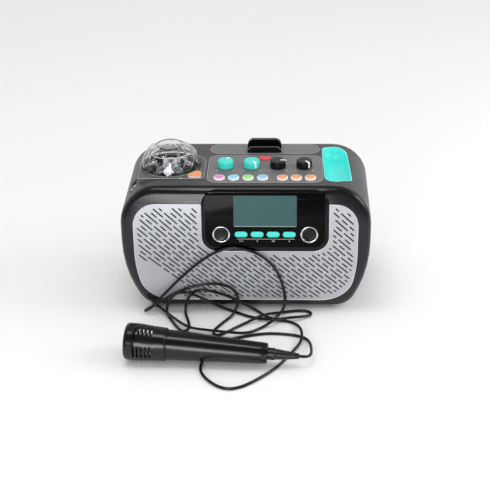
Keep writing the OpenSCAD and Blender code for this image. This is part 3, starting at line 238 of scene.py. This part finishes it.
# %% Room
room = bpy.data.worlds.new("white_room")
bpy.context.scene.world = room
room.use_nodes = True
tree = room.node_tree
tree.nodes.clear()


def room_node(kind, operation=None, **values):
    """A node of the room's shader, with its operation and its socket values."""
    n = tree.nodes.new(kind)
    if operation:
        n.operation = operation
    for key, value in values.items():
        n.inputs[key.replace("_", " ")].default_value = value
    return n


ray = room_node("ShaderNodeLightPath")
lit = room_node("ShaderNodeBackground", Strength=0.8)
lit.inputs["Color"].default_value = (1, 1, 1, 1)
way = room_node("ShaderNodeSeparateXYZ")
behind = room_node("ShaderNodeMapRange", From_Min=-0.5, From_Max=0.3, To_Min=0.3, To_Max=1.0)
low = room_node("ShaderNodeMapRange", From_Min=0.45, From_Max=0.85, To_Min=1.0, To_Max=0.35)
level = room_node("ShaderNodeMath", "MULTIPLY")
in_view = room_node("ShaderNodeMath", "MAXIMUM")
seen = room_node("ShaderNodeBackground")
seen.inputs["Color"].default_value = (0.97, 0.975, 0.98, 1)
either = room_node("ShaderNodeMath", "MAXIMUM")
both = room_node("ShaderNodeMath", "MAXIMUM")
mixed = room_node("ShaderNodeMixShader")
out = room_node("ShaderNodeOutputWorld")
for source, target in (
        (room_node("ShaderNodeTexCoord").outputs["Generated"], way.inputs[0]),
        (way.outputs["Y"], behind.inputs["Value"]), (way.outputs["Z"], low.inputs["Value"]),
        (behind.outputs[0], level.inputs[0]), (low.outputs[0], level.inputs[1]),
        (level.outputs[0], in_view.inputs[0]), (ray.outputs["Is Camera Ray"], in_view.inputs[1]),
        (in_view.outputs[0], seen.inputs["Strength"]),
        (ray.outputs["Is Camera Ray"], either.inputs[0]), (ray.outputs["Is Glossy Ray"], either.inputs[1]),
        (either.outputs[0], both.inputs[0]), (ray.outputs["Is Transmission Ray"], both.inputs[1]),
        (both.outputs[0], mixed.inputs["Fac"]), (lit.outputs[0], mixed.inputs[1]),
        (seen.outputs[0], mixed.inputs[2]), (mixed.outputs[0], out.inputs["Surface"])):
    tree.links.new(source, target)
print("room nodes:", len(tree.nodes))

# %% [markdown]
# The speaker stands on a plain white table. It is a real surface and not a backdrop picture, so the contact
# shadows fall on it. It is only a stage and isn't part of the object.

# %% Table
table_white = finish("table_white", (245, 245, 245), rough=0.85, wander=0.004, grain=2, relief=0.01, specular=0.2)
corners = np.array([[-5, -4, 0], [5, -4, 0], [5, 6, 0], [-5, 6, 0]], float)
table_mesh = bpy.data.meshes.new("table_top")
table_mesh.from_pydata(corners.tolist(), [], [[0, 1, 2, 3]])
table_mesh.materials.append(table_white)
table_top = bpy.data.objects.new("table_top", table_mesh)
bpy.context.scene.collection.objects.link(table_top)
print("table", corners[:, 0].max() - corners[:, 0].min(), "m wide")

# %% [markdown]
# New pieces are grids of points worked out with numpy. The next helper turns an array of rows and columns into
# a mesh, closed round its columns, with lids where asked. Poles and seams are merged, and edges sharper than
# 35 degrees stay crisp.

# %% Pieces from grids
def add_piece(name, points, faces, like, material, replaced=(), crisp=35):
    """Puts points in metres and faces into a mesh.

    The piece rides on the body of the CAD node named like, and may stand for CAD nodes.
    """
    mesh = bpy.data.meshes.new(name)
    mesh.from_pydata(np.asarray(points).reshape(-1, 3).tolist(), [], faces)
    work = bmesh.new()
    work.from_mesh(mesh)
    bmesh.ops.remove_doubles(work, verts=work.verts, dist=1e-6)
    work.to_mesh(mesh)
    work.free()
    mesh.shade_smooth()
    mesh.set_sharp_from_angle(angle=np.radians(crisp))
    mesh.materials.append(material)
    piece = bpy.data.objects.new(name, mesh)
    bpy.context.scene.collection.objects.link(piece)
    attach(piece, body_of[like])
    if replaced:
        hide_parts(*replaced)
    return piece


def grid_faces(rows, cols, lids=(True, True)):
    """Quads between neighbouring rows of a grid whose columns close into a ring, and a lid on each end asked for."""
    i, j = np.arange(rows - 1)[:, None] * cols, np.arange(cols)[None, :]
    k = (j + 1) % cols
    faces = np.stack([i + j, i + k, i + cols + k, i + cols + j], -1).reshape(-1, 4).tolist()
    if lids[0]:
        faces.append(np.arange(cols)[::-1].tolist())
    if lids[1]:
        faces.append((np.arange(cols) + (rows - 1) * cols).tolist())
    return faces


# %% [markdown]
# Knobs, button caps and collars are round, so they could be spun with a screw modifier. Here the points are
# worked out from the profile and an angle, so the same few numbers can be read off a drawing. Heights on the deck
# are counted from its top.

# %% Turned pieces
def turned(name, profile, place, like, material, replaced=(), sides=96, lids=(True, True)):
    """A profile of (radius, height) in mm turned round an axis: x = r cos a, y = r sin a, z = h, then put in place."""
    profile = np.array(profile, float)
    a = np.linspace(0, 2 * np.pi, sides, endpoint=False)[None, :]
    r, h = profile[:, :1], profile[:, 1:] + 0 * a
    points = place(np.stack([r * np.cos(a), r * np.sin(a), h], -1))
    return add_piece(name, points, grid_faces(len(profile), sides, lids), like, material, replaced)


deck_z = 190.0


def deck(x, y, z=deck_z):
    """Places points given in mm round a spot on the deck."""
    return lambda p: (p + np.array([x, y, z])) * MM


# %% [markdown]
# The CAD nodes are loose triangles, and each small step of a curve would show as a facet. A skin is a merged copy
# that is shaded smooth where the steps are small and crisp where the real edge is. A piece that is hidden or flat
# needs no copy, so it keeps its CAD mesh and only gets a finish.

# %% Skins and finishes for CAD nodes
def skin(node, material, crisp=32, edge=0.0, also=None):
    """A merged copy of a CAD node, shaded smooth across its small steps, that stands for the node.

    also is (material, test): faces whose centre and normal, in mm, pass the test take that second material.
    """
    mesh = nodes[node].data.copy()
    work = bmesh.new()
    work.from_mesh(mesh)
    bmesh.ops.remove_doubles(work, verts=work.verts, dist=2e-6)
    work.to_mesh(mesh)
    work.free()
    if "custom_normal" in mesh.attributes:
        mesh.attributes.remove(mesh.attributes["custom_normal"])
    mesh.name = node + "_skin"
    mesh.shade_smooth()
    mesh.set_sharp_from_angle(angle=np.radians(crisp))
    mesh.materials.clear()
    mesh.materials.append(material)
    if also:
        mesh.materials.append(also[0])
        centre, normal = np.zeros(len(mesh.polygons) * 3), np.zeros(len(mesh.polygons) * 3)
        mesh.polygons.foreach_get("center", centre)
        mesh.polygons.foreach_get("normal", normal)
        index = also[1](centre.reshape(-1, 3) / MM, normal.reshape(-1, 3)).astype(np.int32)
        mesh.polygons.foreach_set("material_index", index)
    else:
        mesh.polygons.foreach_set("material_index", np.zeros(len(mesh.polygons), np.int32))
    piece = bpy.data.objects.new(node + "_skin", mesh)
    bpy.context.scene.collection.objects.link(piece)
    if edge:
        soft = piece.modifiers.new("edge", "BEVEL")
        soft.width, soft.segments = edge, 2
        soft.angle_limit = np.radians(35)
    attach(piece, body_of[node])
    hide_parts(node)
    return piece


def dress(material, *names):
    """Gives CAD nodes, whose shape is right as it is, a finish of their own."""
    for name in names:
        nodes[name].data.materials.clear()
        nodes[name].data.materials.append(material)

# %% [markdown]
# The microphone's cord is one rubber cable 4 mm thick. It leaves the boot, loops over the table and leans on the
# front, passes under the lower left corner and ends in its plug behind the case. The route is a list of points
# in metres; a smooth curve runs through them and a round section is carried along it.

# %% Cord
cord_radius = 2 * MM
cord_points = np.array([
    [73.38, -211.43, 17.73], [80.35, -212.08, 17.49], [86, -209, 15.5], [89, -201, 14], [86, -154, 3],
    [78, -144, 2], [38, -136, 2], [8, -141, 2], [-34, -160, 2], [-45, -176, 2],
    [-56, -217, 2], [-48, -239, 2], [-27, -259, 2], [-14, -262, 2], [3, -255, 2],
    [42, -217, 2], [59, -189, 2], [76, -158, 5], [77, -142, 8], [72, -118, 3],
    [63, -108, 2], [34, -99, 2], [8, -76, 4], [-35, -80, 30], [-68, -81, 36.5],
    [-80, -79, 26], [-87, -81, 4.5], [-78, -119, 2], [-79, -129, 2], [-85, -134, 2],
    [-92, -127, 2], [-113.5, -84, 2.5], [-113, -80, 7], [-102, -80, 28], [-83, -85, 35.5],
    [-73, -85, 31.5], [-46, -75, 10], [-32, -75, 3], [5, -95, 2], [36, -106, 5],
    [61, -105, 7.5], [91, -89, 2], [90, -82, 2], [80, -79, 2.5], [45, -86, 3],
    [23, -103, 10], [-2, -113, 2.5], [-38, -142, 2], [-45, -137, 2], [-18, -90, 4],
    [-13, -84, 13], [-12, -83, 27.5], [-20, -82, 40.5], [-45, -83.5, 49], [-84, -87, 42.5],
    [-108, -84, 27.5], [-139, -79, 5], [-144.5, -82, 3], [-144.5, -87, 5], [-137, -89, 9],
    [-116, -85, 31], [-88, -85, 61.5], [-57.8, -89.1, 91.3], [-33.7, -91.4, 107], [-11.8, -90.8, 110.2],
    [17.1, -90.6, 101.1], [39, -87.8, 78.3], [49, -84, 52.5], [54, -78, 19.5], [53, -82, 11.5],
    [41, -112, 11], [25, -120, 2.5], [2, -137, 3.5], [-26, -144, 9.5], [-57, -133, 5.5],
    [-78, -129, 7], [-116, -89, 7.5], [-126.5, -77, 8.5], [-133, -70, 4], [-136, -56, 2],
    [-137, 20, 2], [-137, 98, 2], [-134, 118, 5], [-128, 132, 14], [-121, 136, 28],
    [-118, 131, 40], [-118, 124.7, 46], [-118, 117.7, 46],
]) * MM


def smooth_route(points, step=0.002, blur=0.005):
    """A smooth curve through the points, sampled every step in metres and then blurred along its length.

    Each stretch is a cubic that meets its two points with their slopes. The knots lie apart by the square root of
    the distance between the points, which keeps close points from making a loop.
    """
    knots = np.r_[0, np.cumsum(np.sqrt(np.linalg.norm(np.diff(points, axis=0), axis=1)))]
    slopes = np.gradient(points, knots, axis=0)
    fine = np.linspace(0, knots[-1], 4000)
    seg = np.clip(np.searchsorted(knots, fine) - 1, 0, len(knots) - 2)
    h = (knots[seg + 1] - knots[seg])[:, None]
    s = (fine - knots[seg])[:, None] / h
    curve = ((2 * s**3 - 3 * s**2 + 1) * points[seg] + (s**3 - 2 * s**2 + s) * h * slopes[seg]
             + (3 * s**2 - 2 * s**3) * points[seg + 1] + (s**3 - s**2) * h * slopes[seg + 1])
    run = np.r_[0, np.cumsum(np.linalg.norm(np.diff(curve, axis=0), axis=1))]
    even = np.linspace(0, run[-1], int(run[-1] / step))
    curve = np.stack([np.interp(even, run, curve[:, k]) for k in range(3)], 1)
    reach = int(3 * blur / step)
    weight = np.exp(-0.5 * (np.arange(-reach, reach + 1) * step / blur) ** 2)
    padded = np.r_[2 * curve[0] - curve[reach:0:-1], curve, 2 * curve[-1] - curve[-2:-reach - 2:-1]]
    soft = np.stack([np.convolve(padded[:, k], weight / weight.sum(), "valid") for k in range(3)], 1)
    soft[0], soft[-1] = points[0], points[-1]
    soft[:, 2] = np.maximum(soft[:, 2], cord_radius)
    return soft


def carried_ring(path, radius, sides):
    """A round section carried along a path without twist: each frame is the last one turned onto the new direction."""
    ahead = np.gradient(path, axis=0)
    ahead /= np.linalg.norm(ahead, axis=1)[:, None]
    side = np.cross(ahead[0], [0, 0, 1])
    side /= np.linalg.norm(side)
    frames = []
    for a in ahead:
        side = side - a * (side @ a)
        side /= np.linalg.norm(side)
        frames.append(side)
    first = np.array(frames)
    second = np.cross(ahead, first)
    turn = np.linspace(0, 2 * np.pi, sides, endpoint=False)
    radius = np.broadcast_to(radius, len(path))[:, None, None]
    return path[:, None] + radius * (np.cos(turn)[None, :, None] * first[:, None]
                                     + np.sin(turn)[None, :, None] * second[:, None])


cord_line = smooth_route(cord_points)
cord_tube = carried_ring(cord_line, cord_radius, 14)
cord = add_piece("microphone_cord", cord_tube, grid_faces(*cord_tube.shape[:2]), "mic_cord", cord_rubber,
                 replaced=("mic_cord",), crisp=60)

# %% [markdown]
# Many edges on this speaker are rounded rectangles, ovals or hulls of a few circles. Each outline is a closed
# loop of points worked out at once from angles, and a loft carries it through a few levels, so a key cap gets
# its rounded shoulder from a short list of insets and heights.

# %% Outlines, lofts and beads
def rounded(w, h, r, steps=12):
    """A w by h rectangle with corners of radius r: four quarter circles, joined by straight sides."""
    a = np.linspace(0, np.pi / 2, steps + 1)
    quarter = np.arange(4)[:, None] * np.pi / 2
    corner = np.array([[1, 1], [-1, 1], [-1, -1], [1, -1]]) * [w / 2 - r, h / 2 - r]
    return (corner[:, None] + r * np.stack([np.cos(a + quarter), np.sin(a + quarter)], -1)).reshape(-1, 2)


def hull_of_circles(circles, steps=480):
    """The tight band round circles (x, y, r): at each angle the circle that reaches furthest gives the point."""
    c = np.array(circles, float)
    a = np.linspace(0, 2 * np.pi, steps, endpoint=False)
    n = np.stack([np.cos(a), np.sin(a)], -1)
    furthest = np.argmax(n @ c[:, :2].T + c[:, 2], axis=1)
    return c[furthest, :2] + c[furthest, 2:] * n


def evenly(loop, step=1.5):
    """A closed loop resampled to points about step apart along its length."""
    closed = np.vstack([loop, loop[:1]])
    run = np.r_[0, np.cumsum(np.linalg.norm(np.diff(closed, axis=0), axis=1))]
    at = np.linspace(0, run[-1], max(int(run[-1] / step), 12), endpoint=False)
    return np.stack([np.interp(at, run, closed[:, k]) for k in range(closed.shape[1])], -1)


def loft(name, outline, levels, place, like, material, **options):
    """Carries outline(inset), a loop in mm, through (inset, height) levels and closes both ends."""
    rings = [np.c_[outline(inset), np.full(len(outline(inset)), z)] for inset, z in levels]
    points = place(np.stack(rings))
    return add_piece(name, points, grid_faces(*points.shape[:2]), like, material, **options)


def bead(name, loop, radius, upward, like, material, sides=8):
    """A thin round bead along a closed loop in mm: loop + radius (cos t side + sin t upward)."""
    ahead = np.roll(loop, -1, axis=0) - np.roll(loop, 1, axis=0)
    side = np.cross(ahead, upward)
    side /= np.linalg.norm(side, axis=1)[:, None]
    over = np.cross(side, ahead)
    over /= np.linalg.norm(over, axis=1)[:, None]
    t = np.linspace(0, 2 * np.pi, sides, endpoint=False)[None, :, None]
    points = loop[:, None] + radius * (np.cos(t) * side[:, None] + np.sin(t) * over[:, None])
    points = np.concatenate([points, points[:1]])
    return add_piece(name, points * MM, grid_faces(*points.shape[:2], (False, False)), like, material)


# %% [markdown]
# The housings keep the exact shape that the CAD gives them. Their skins are merged copies, so light runs
# smoothly over the small steps of each curve while true edges stay crisp. The orange cap of the light button
# and its white sides are one moulding in two colours, split at a height.

# %% Housings
skin("rear_shell", deck_grey)
skin("front_bezel", bezel_black)
# The grille's faces that look neither forward nor back, its slot walls and the wall of its outer gap, take the black
# finish: painted shade in the slots.
skin("speaker_grille", grille_silver, crisp=40, also=(inner_black, lambda c, n: np.abs(n[:, 1]) < 0.6))
skin("base_plate", base_black)
skin("pod_housing", pod_black, edge=0.5 * MM)
skin("pod_panel", panel_gloss)
skin("lcd_glass", display_green)
skin("key_rings", chrome, crisp=50)
skin("control_panel", inlay_grey)
skin("tablet_ledge", inlay_grey)
well_x, well_y, well_radius, well_top = -106, 3.4, 43.6, 190.9
skin("dome_platform", platform_grey,
     also=(inner_black, lambda c, n: (np.hypot(c[:, 0] - well_x, c[:, 1] - well_y) < well_radius)
           & (c[:, 2] < well_top)))
skin("tablet_holder", holder_black, edge=0.5 * MM)
skin("jack_panel", base_black)
skin("battery_door", deck_grey)
skin("light_button", white_plastic, also=(pastels["light_button"], lambda c, n: c[:, 2] > 192.95))

# %% [markdown]
# The parts behind the grille and under the deck are seen only through slots and the dome. They keep their CAD
# shapes and get a plain finish of their own: paper cones, green boards, steel and black plastic.

# %% Inner parts and small fittings
dress(inner_black, "speaker_baffle", "battery_box", "power_socket")
dress(board_green, "display_board", "main_board", "control_board")
dress(cone_paper, "left_speaker", "right_speaker")
dress(steel, "light_motor", "microphone_socket", "battery_contacts", "case_screws")
dress(soft_rubber, "rubber_feet", "power_switch", "plug_boot")
dress(chrome, "cord_plug")
# The capsule is real, and its warm grey is a painted sheen that stands for the light between the ribs of the head.
dress(capsule_painted_sheen, "mic_capsule")
print("inner parts dressed")

# %% [markdown]
# The silver grille has a turned-over rim, and the inlays, the platform and the teal rest have a fine rounded edge.
# Each edge is a thin bead that follows the outline of its piece, painted lighter than its piece as a painted
# highlight. The grille's rim runs round the notch for the pod and leans back with the curved front.

# %% Rims and edges
def front_y(z):
    """The front face in mm: an arc of radius 300 in the side view, furthest forward at height 95."""
    return -84 + 300 - np.sqrt(300**2 - (z - 95) ** 2)


def turn(cx, cz, r, a0, a1, steps=24):
    """Points on an arc round (cx, cz) from angle a0 to a1, in degrees."""
    a = np.radians(np.linspace(a0, a1, steps))
    return np.stack([cx + r * np.cos(a), cz + r * np.sin(a)], -1)


top_radius, side_radius, corner_radius = 30, 235, 45
top_z, bottom_z, side_z = 168, 17, 100
side_x = 152 - side_radius
corner_z = bottom_z + corner_radius
corner_x = side_x + np.sqrt((side_radius - corner_radius) ** 2 - (side_z - corner_z) ** 2)
belly = -np.degrees(np.arctan2(side_z - corner_z, corner_x - side_x))
half = np.vstack([turn(122, top_z - top_radius, top_radius, 90, 0), turn(side_x, side_z, side_radius, 0, belly),
                  turn(corner_x, corner_z, corner_radius, belly, -90)])
pod_x, notch_reach, low_z, notch = 27, 86.7, 101, 22
left_x, right_x = pod_x - notch_reach, pod_x + notch_reach
outline = np.vstack([
    [[right_x, top_z]], half, half[::-1] * [-1, 1], [[left_x, top_z]],
    turn(left_x + notch, low_z + notch, notch, 180, 270), turn(right_x - notch, low_z + notch, notch, 270, 360),
])
rim = evenly(outline)
rim_loop = np.stack([rim[:, 0], front_y(rim[:, 1]) + 0.5, rim[:, 1]], -1)
# The rim's lighter silver is a painted highlight.
bead("grille_rim", rim_loop, 0.55, np.array([0, -1, 0]), "speaker_grille", silver_painted_highlight)


def flat_loop(loop, z):
    """A loop of (x, y) at one height."""
    return np.c_[evenly(loop), np.full(len(evenly(loop)), z)]


overhead = np.array([0, 0, 1])
inlay_edge_z, inlay_edge = 190.35, 0.35
# The lighter grey of these beads is a painted highlight on the edges of the inlays and the platform.
bead("control_edge", flat_loop(rounded(158.2, 84.2, 13.6) + [26, -10], inlay_edge_z), inlay_edge, overhead,
     "control_panel", grey_painted_highlight)
bead("ledge_edge", flat_loop(rounded(155.2, 32.2, 16) + [24, 53], inlay_edge_z), inlay_edge, overhead,
     "tablet_ledge", grey_painted_highlight)
platform = hull_of_circles([(-144, -38.5, 3), (-62, -36.5, 5), (-79, 11, 22), (-127, 13, 20)])
bead("platform_edge", flat_loop(platform, 190.7), 0.4, overhead, "dome_platform", grey_painted_highlight)
print("rim length", round(float(np.linalg.norm(np.diff(rim_loop, axis=0), axis=1).sum())), "mm")

# %% [markdown]
# The microphone lies in a teal rest let into the right shoulder. Its top follows the case, which turns down at
# the right, and a trough as long as the microphone's head is sunk into it. A function of x and y gives the lower
# of the two surfaces, blended over a millimetre, so the lip is rounded, and rays from the middle carry the grid.

# %% Microphone rest
def shoulder_height(x):
    """The case's top in mm, 0.4 below its skin: level to x = 120, then an arc of radius 49.6."""
    return 140 + np.sqrt(49.6**2 - np.clip(x - 120, 0, 45) ** 2)


def rest_height(p):
    """The lower of the shoulder and a trough of radius 19 round the line from (123, 40) to (126.6, -28) at z 194.

    The two heights are blended: minus b times the logarithm of the sum of exp(-height / b), with b the blend.
    """
    start, along = np.array([123.0, 40.0]), np.array([3.6, -68.0])
    axis_z, trough_radius, blend = 194, 19, 0.35
    share = np.clip((p - start) @ along / (along @ along), 0, 1)
    off = np.linalg.norm(p - start - share[..., None] * along, axis=-1)
    trough = axis_z - np.sqrt(np.clip(trough_radius**2 - off**2, 0, None))
    total = np.exp(-(shoulder_height(p[..., 0]) - deck_z) / blend) + np.exp(-(trough - deck_z) / blend)
    return -blend * np.log(total) + deck_z


def rest_outline(inset):
    """The rest's outline in mm, the band round four circles, drawn in by an inset."""
    return evenly(hull_of_circles([(113, 53, 8 - inset), (125, 46, 16 - inset), (131, -27, 14 - inset),
                                   (121, -34, 14 - inset)]), 1.2)


edge_line = rest_outline(0.0)
middle = np.array([123.8, 6.0])
reach = np.linspace(1, 0, 72)[:, None, None]
dish = middle + reach * (edge_line - middle)
dish = np.concatenate([dish, rest_height(dish)[..., None]], -1)
foot_z = 171.0
foot = np.c_[edge_line, np.full(len(edge_line), foot_z)]
rest_points = np.concatenate([foot[None], dish])
add_piece("microphone_rest_skin", rest_points * MM, grid_faces(*rest_points.shape[:2], (True, False)),
          "microphone_rest", rest_teal, replaced=("microphone_rest",))
lip = rest_outline(0.5)
# The pale teal bead round the lip is a painted highlight on the rest's rim.
bead("teal_painted_highlight", np.c_[lip, shoulder_height(lip[:, 0]) + 0.05], 0.45, overhead, "microphone_rest", teal_painted_highlight)
print("deepest point of the rest", round(float(dish[..., 2].min()), 1), "mm above the table")

# %% [markdown]
# The four knobs are turned shapes, so a profile is spun round each shaft: a skirt, a slightly tapered side and a
# soft shoulder. The white pointer is a strip pressed into the top that runs over the shoulder and down the side.
# It rides with its knob, so it shows how far the knob is turned.

# %% Knobs
knob_x, knob_y = [-28.9, 7.3, 43.5, 79.7], -4
shoulder = np.radians(np.linspace(0, 90, 9))
side_top = [(10.65, 0.8), (10.65, 2.2), (11.25, 2.4), (11.22, 2.9)]
round_over = list(zip(8.75 + 2.2 * np.cos(shoulder), 8.75 + 2.2 * np.sin(shoulder)))
knob_profile = [(3.5, -12.8), (3.5, 0.8)] + side_top + round_over + [(6, 10.88), (2, 10.8)]


def pointer(name, x, degrees, like):
    """A strip 2.6 mm wide along the knob's profile at one angle, standing 0.15 mm proud and sunk 0.3 mm."""
    path = np.array([(3.4, 10.8), (6, 10.88)] + round_over[::-1] + [(11.1, 5.5), (11.22, 2.9)])
    ahead = np.gradient(path, axis=0)
    outward = np.stack([-ahead[:, 1], ahead[:, 0]], -1)
    outward /= np.linalg.norm(outward, axis=1)[:, None]
    a = np.radians(degrees)
    radial, across = np.array([np.cos(a), np.sin(a), 0]), np.array([-np.sin(a), np.cos(a), 0])
    section = np.array([(-1.3, -0.3), (1.3, -0.3), (1.3, 0.15), (-1.3, 0.15)])
    flat = path[:, None] + section[None, :, 1:] * outward[:, None]
    points = flat[..., :1] * radial + section[None, :, :1] * across + flat[..., 1:] * np.array([0, 0, 1])
    points = points + np.array([x, knob_y, deck_z])
    return add_piece(name, points * MM, grid_faces(len(path), 4), like, white_print)


for x, node, angle, cap in zip(knob_x, ("teal_knob_left", "teal_knob_right", "black_knob_left", "black_knob_right"),
                               (58, -60, 0, -53), (control_teal, control_teal, knob_black, knob_black)):
    turned(node + "_skin", knob_profile, deck(x, knob_y), node, cap, replaced=(node,))
    pointer(node + "_pointer", x, angle, node)
dot_profile = [(0.75, -0.2), (0.75, 0.12), (0.5, 0.2), (0.15, 0.22)]
dot_reach, panel_z = 11.8, 190.4
ends = [(x + s * dot_reach, knob_y - dot_reach) for x in knob_x for s in (-1, 1)]
ends += [(knob_x[-1] + s * dot_reach, knob_y + dot_reach) for s in (-1, 1)]
for i, (x, y) in enumerate(ends):
    turned(f"dial_dot_{i + 1}", dot_profile, deck(x, y, panel_z), "control_panel", white_print, sides=16)
print("knobs:", len(knob_x), "scale dots:", len(ends))

# %% [markdown]
# The round deck buttons are white mouldings with a pastel cap let into the top. The body is turned from its
# real profile with the flange that keeps it in the deck, and the cap is a shallow crown of its own, so a white
# ring is left round it.

# %% Round deck buttons
button_y = -39.6
button_x = dict(zip(("pink_button", "blue_button", "green_button", "sky_button", "orange_button_1",
                     "orange_button_2", "orange_button_3"), (-36, -16.4, 3.3, 23, 49.9, 69, 88)))
body_profile = [(3, -6), (3, -4.4), (8.7, -4.4), (8.7, -2.8), (7.7, -2.8), (7.7, 1.7), (7.55, 2.3), (7.1, 2.7),
                (6.3, 2.8)]
crown_profile = [(6.25, 2.2), (6.25, 2.85), (6, 3.05), (4.5, 3.3), (2.5, 3.45), (0.4, 3.5)]
for node, x in button_x.items():
    turned(node + "_body", body_profile, deck(x, button_y), node, white_plastic, replaced=(node,))
    turned(node + "_cap", crown_profile, deck(x, button_y), node, pastels[node])
print("round deck buttons:", len(button_x))

# %% [markdown]
# The red record button is a long oval with a rounded shoulder. It could be a box with a bevel, but a loft
# through a few insets gives its flange and its shoulder at once. The small white light on the platform is a low
# turned crown.

# %% Record button and ready light
loft("record_button_skin", lambda i: rounded(17.4 - 2 * i, 9 - 2 * i, 4.45 - i),
     [(1, -5.5), (1, -4), (0, -4), (0, 1.7), (0.3, 2.3), (0.9, 2.6), (2.2, 2.7)], deck(24.6, 21),
     "record_button", pastels["record_button"], replaced=("record_button",))
turned("ready_light", [(1.1, -0.2), (1.1, 0.15), (0.7, 0.45), (0.2, 0.5)], deck(-88.8, -39.9, 191),
       "dome_platform", white_print, sides=24)
print("record button and ready light placed")

# %% [markdown]
# The display pod leans back by 10.5 degrees, so its controls are made lying flat and then placed in the pod's
# own frame: across, up the panel, and out of it. The teal menu keys are ovals with soft shoulders. The two
# round keys are dished for a finger.

# %% Display pod keys
panel_middle, panel_rise = np.array([27, -81.5, 146.5]), 79.5
key_x, key_row, round_key_x = 21.7 * (np.arange(4) - 1.5), -18.6, 59.5


def pod(across, up, out=0.0):
    """Places points given in mm in the pod's frame at a spot on its panel, which rises at 79.5 degrees."""
    lean = np.radians(panel_rise)
    axes = np.array([[1, 0, 0], [0, np.cos(lean), np.sin(lean)], [0, -np.sin(lean), np.cos(lean)]])
    return lambda p: ((p + np.array([across, up, out])) @ axes + panel_middle) * MM


for i, across in enumerate(key_x):
    node = f"menu_button_{i + 1}"
    loft(node + "_skin", lambda inset: rounded(17.4 - 2 * inset, 7.8 - 2 * inset, 3.85 - inset),
         [(-1.1, -3.7), (-1.1, -2.3), (0, -2.3), (0, 0.25), (0.25, 0.6), (0.7, 0.82), (1.6, 0.9), (2.9, 0.92)],
         pod(across, key_row), node, control_teal, replaced=(node,))
for side, node in ((-1, "left_key"), (1, "right_key")):
    turned(node + "_skin", [(9.3, -2.6), (9.3, 0.15), (9.1, 0.5), (8.6, 0.7), (7.6, 0.62), (5, 0.4), (1, 0.3)],
           pod(round_key_x * side, key_row), node, key_black, replaced=(node,))
print("menu keys:", len(key_x), "and two round keys")

# %% [markdown]
# Under each menu key a small printed mark shows what it does: a dot, a bar or an arrow, below a fine line. Print
# could be an image on the panel. Here each mark is a loop raised by less than a tenth of a millimetre, so it
# needs no picture and stays sharp at any distance.

# %% Marks on the panel
def panel_mark(name, loop, across, up, out=-0.3, material=white_print):
    """A printed mark, or a strip of painted highlight: a loop in mm raised 0.08 mm from the panel."""
    return loft(name, lambda inset: loop, [(0, -0.1), (0, 0.08)], pod(across, up, out), "pod_panel", material)


square = np.array([[-1, -1], [1, -1], [1, 1], [-1, 1]], float)
arrow = np.array([[0.9, 0], [-0.6, 0.9], [-0.6, -0.9]])
mark_row = -28.2
panel_mark("menu_line", square * [39, 0.16], 0.9, -25.2)
for i in range(3):
    panel_mark(f"menu_dot_{i + 1}", rounded(0.9, 0.9, 0.44, 5), key_x[0] + 2.1 * (i - 1), mark_row)
    panel_mark(f"menu_bar_{i + 1}", square * [0.3, 0.75], key_x[2] + 1.4 * (i - 1), mark_row)
panel_mark("menu_arrow_left", -arrow, key_x[1], mark_row)
panel_mark("menu_arrow_right", arrow, key_x[3], mark_row)
# The light strip along the display's lower edge is a painted highlight of its bevel, not print.
panel_mark("display_line", square * [42, 0.5], 0, -7.3, out=-0.6, material=display_painted_highlight)
print("panel marks placed")

# %% [markdown]
# Under the clear dome a mirrored carousel throws the light about. Its cups are bright metal. The jack on the
# left shoulder has a bright metal collar round its hole.

# %% Dome, carousel and jack
skin("dome_lens", clear_dome, crisp=4)
skin("light_rotor", lamp_mirror, crisp=40, also=(pod_black, lambda c, n: c[:, 2] < 185.2))


def jack(p):
    """Places points given in mm in the slanted jack panel's frame."""
    h = np.sqrt(0.5)
    return (p @ np.array([[h, 0, h], [0, 1, 0], [-h, 0, h]]) + np.array([-154.6, -35, 176])) * MM


collar_profile = [(3.25, -3), (3.25, -0.5), (3.6, -0.3), (4.9, -0.3), (5.3, -0.6), (5.3, -1.4)]
hole_middle = np.array([0, -5, 0])
turned("jack_collar", collar_profile, lambda p: jack(p + hole_middle), "jack_panel", chrome, lids=(False, False))
print("dome, carousel and jack")

# %% [markdown]
# The microphone is satin black. Its head is a louvred cage, so its ribs stay crisp, while the handle is one
# smooth taper and the boot is soft rubber with moulded ribs.

# %% Microphone
for node, finish_of_it, crisp in (("mic_cap", microphone_black, 30), ("mic_head", microphone_black, 25),
                                  ("mic_handle", microphone_black, 30), ("mic_boot", soft_rubber, 30)):
    skin(node, finish_of_it, crisp=crisp)
print("microphone skinned")
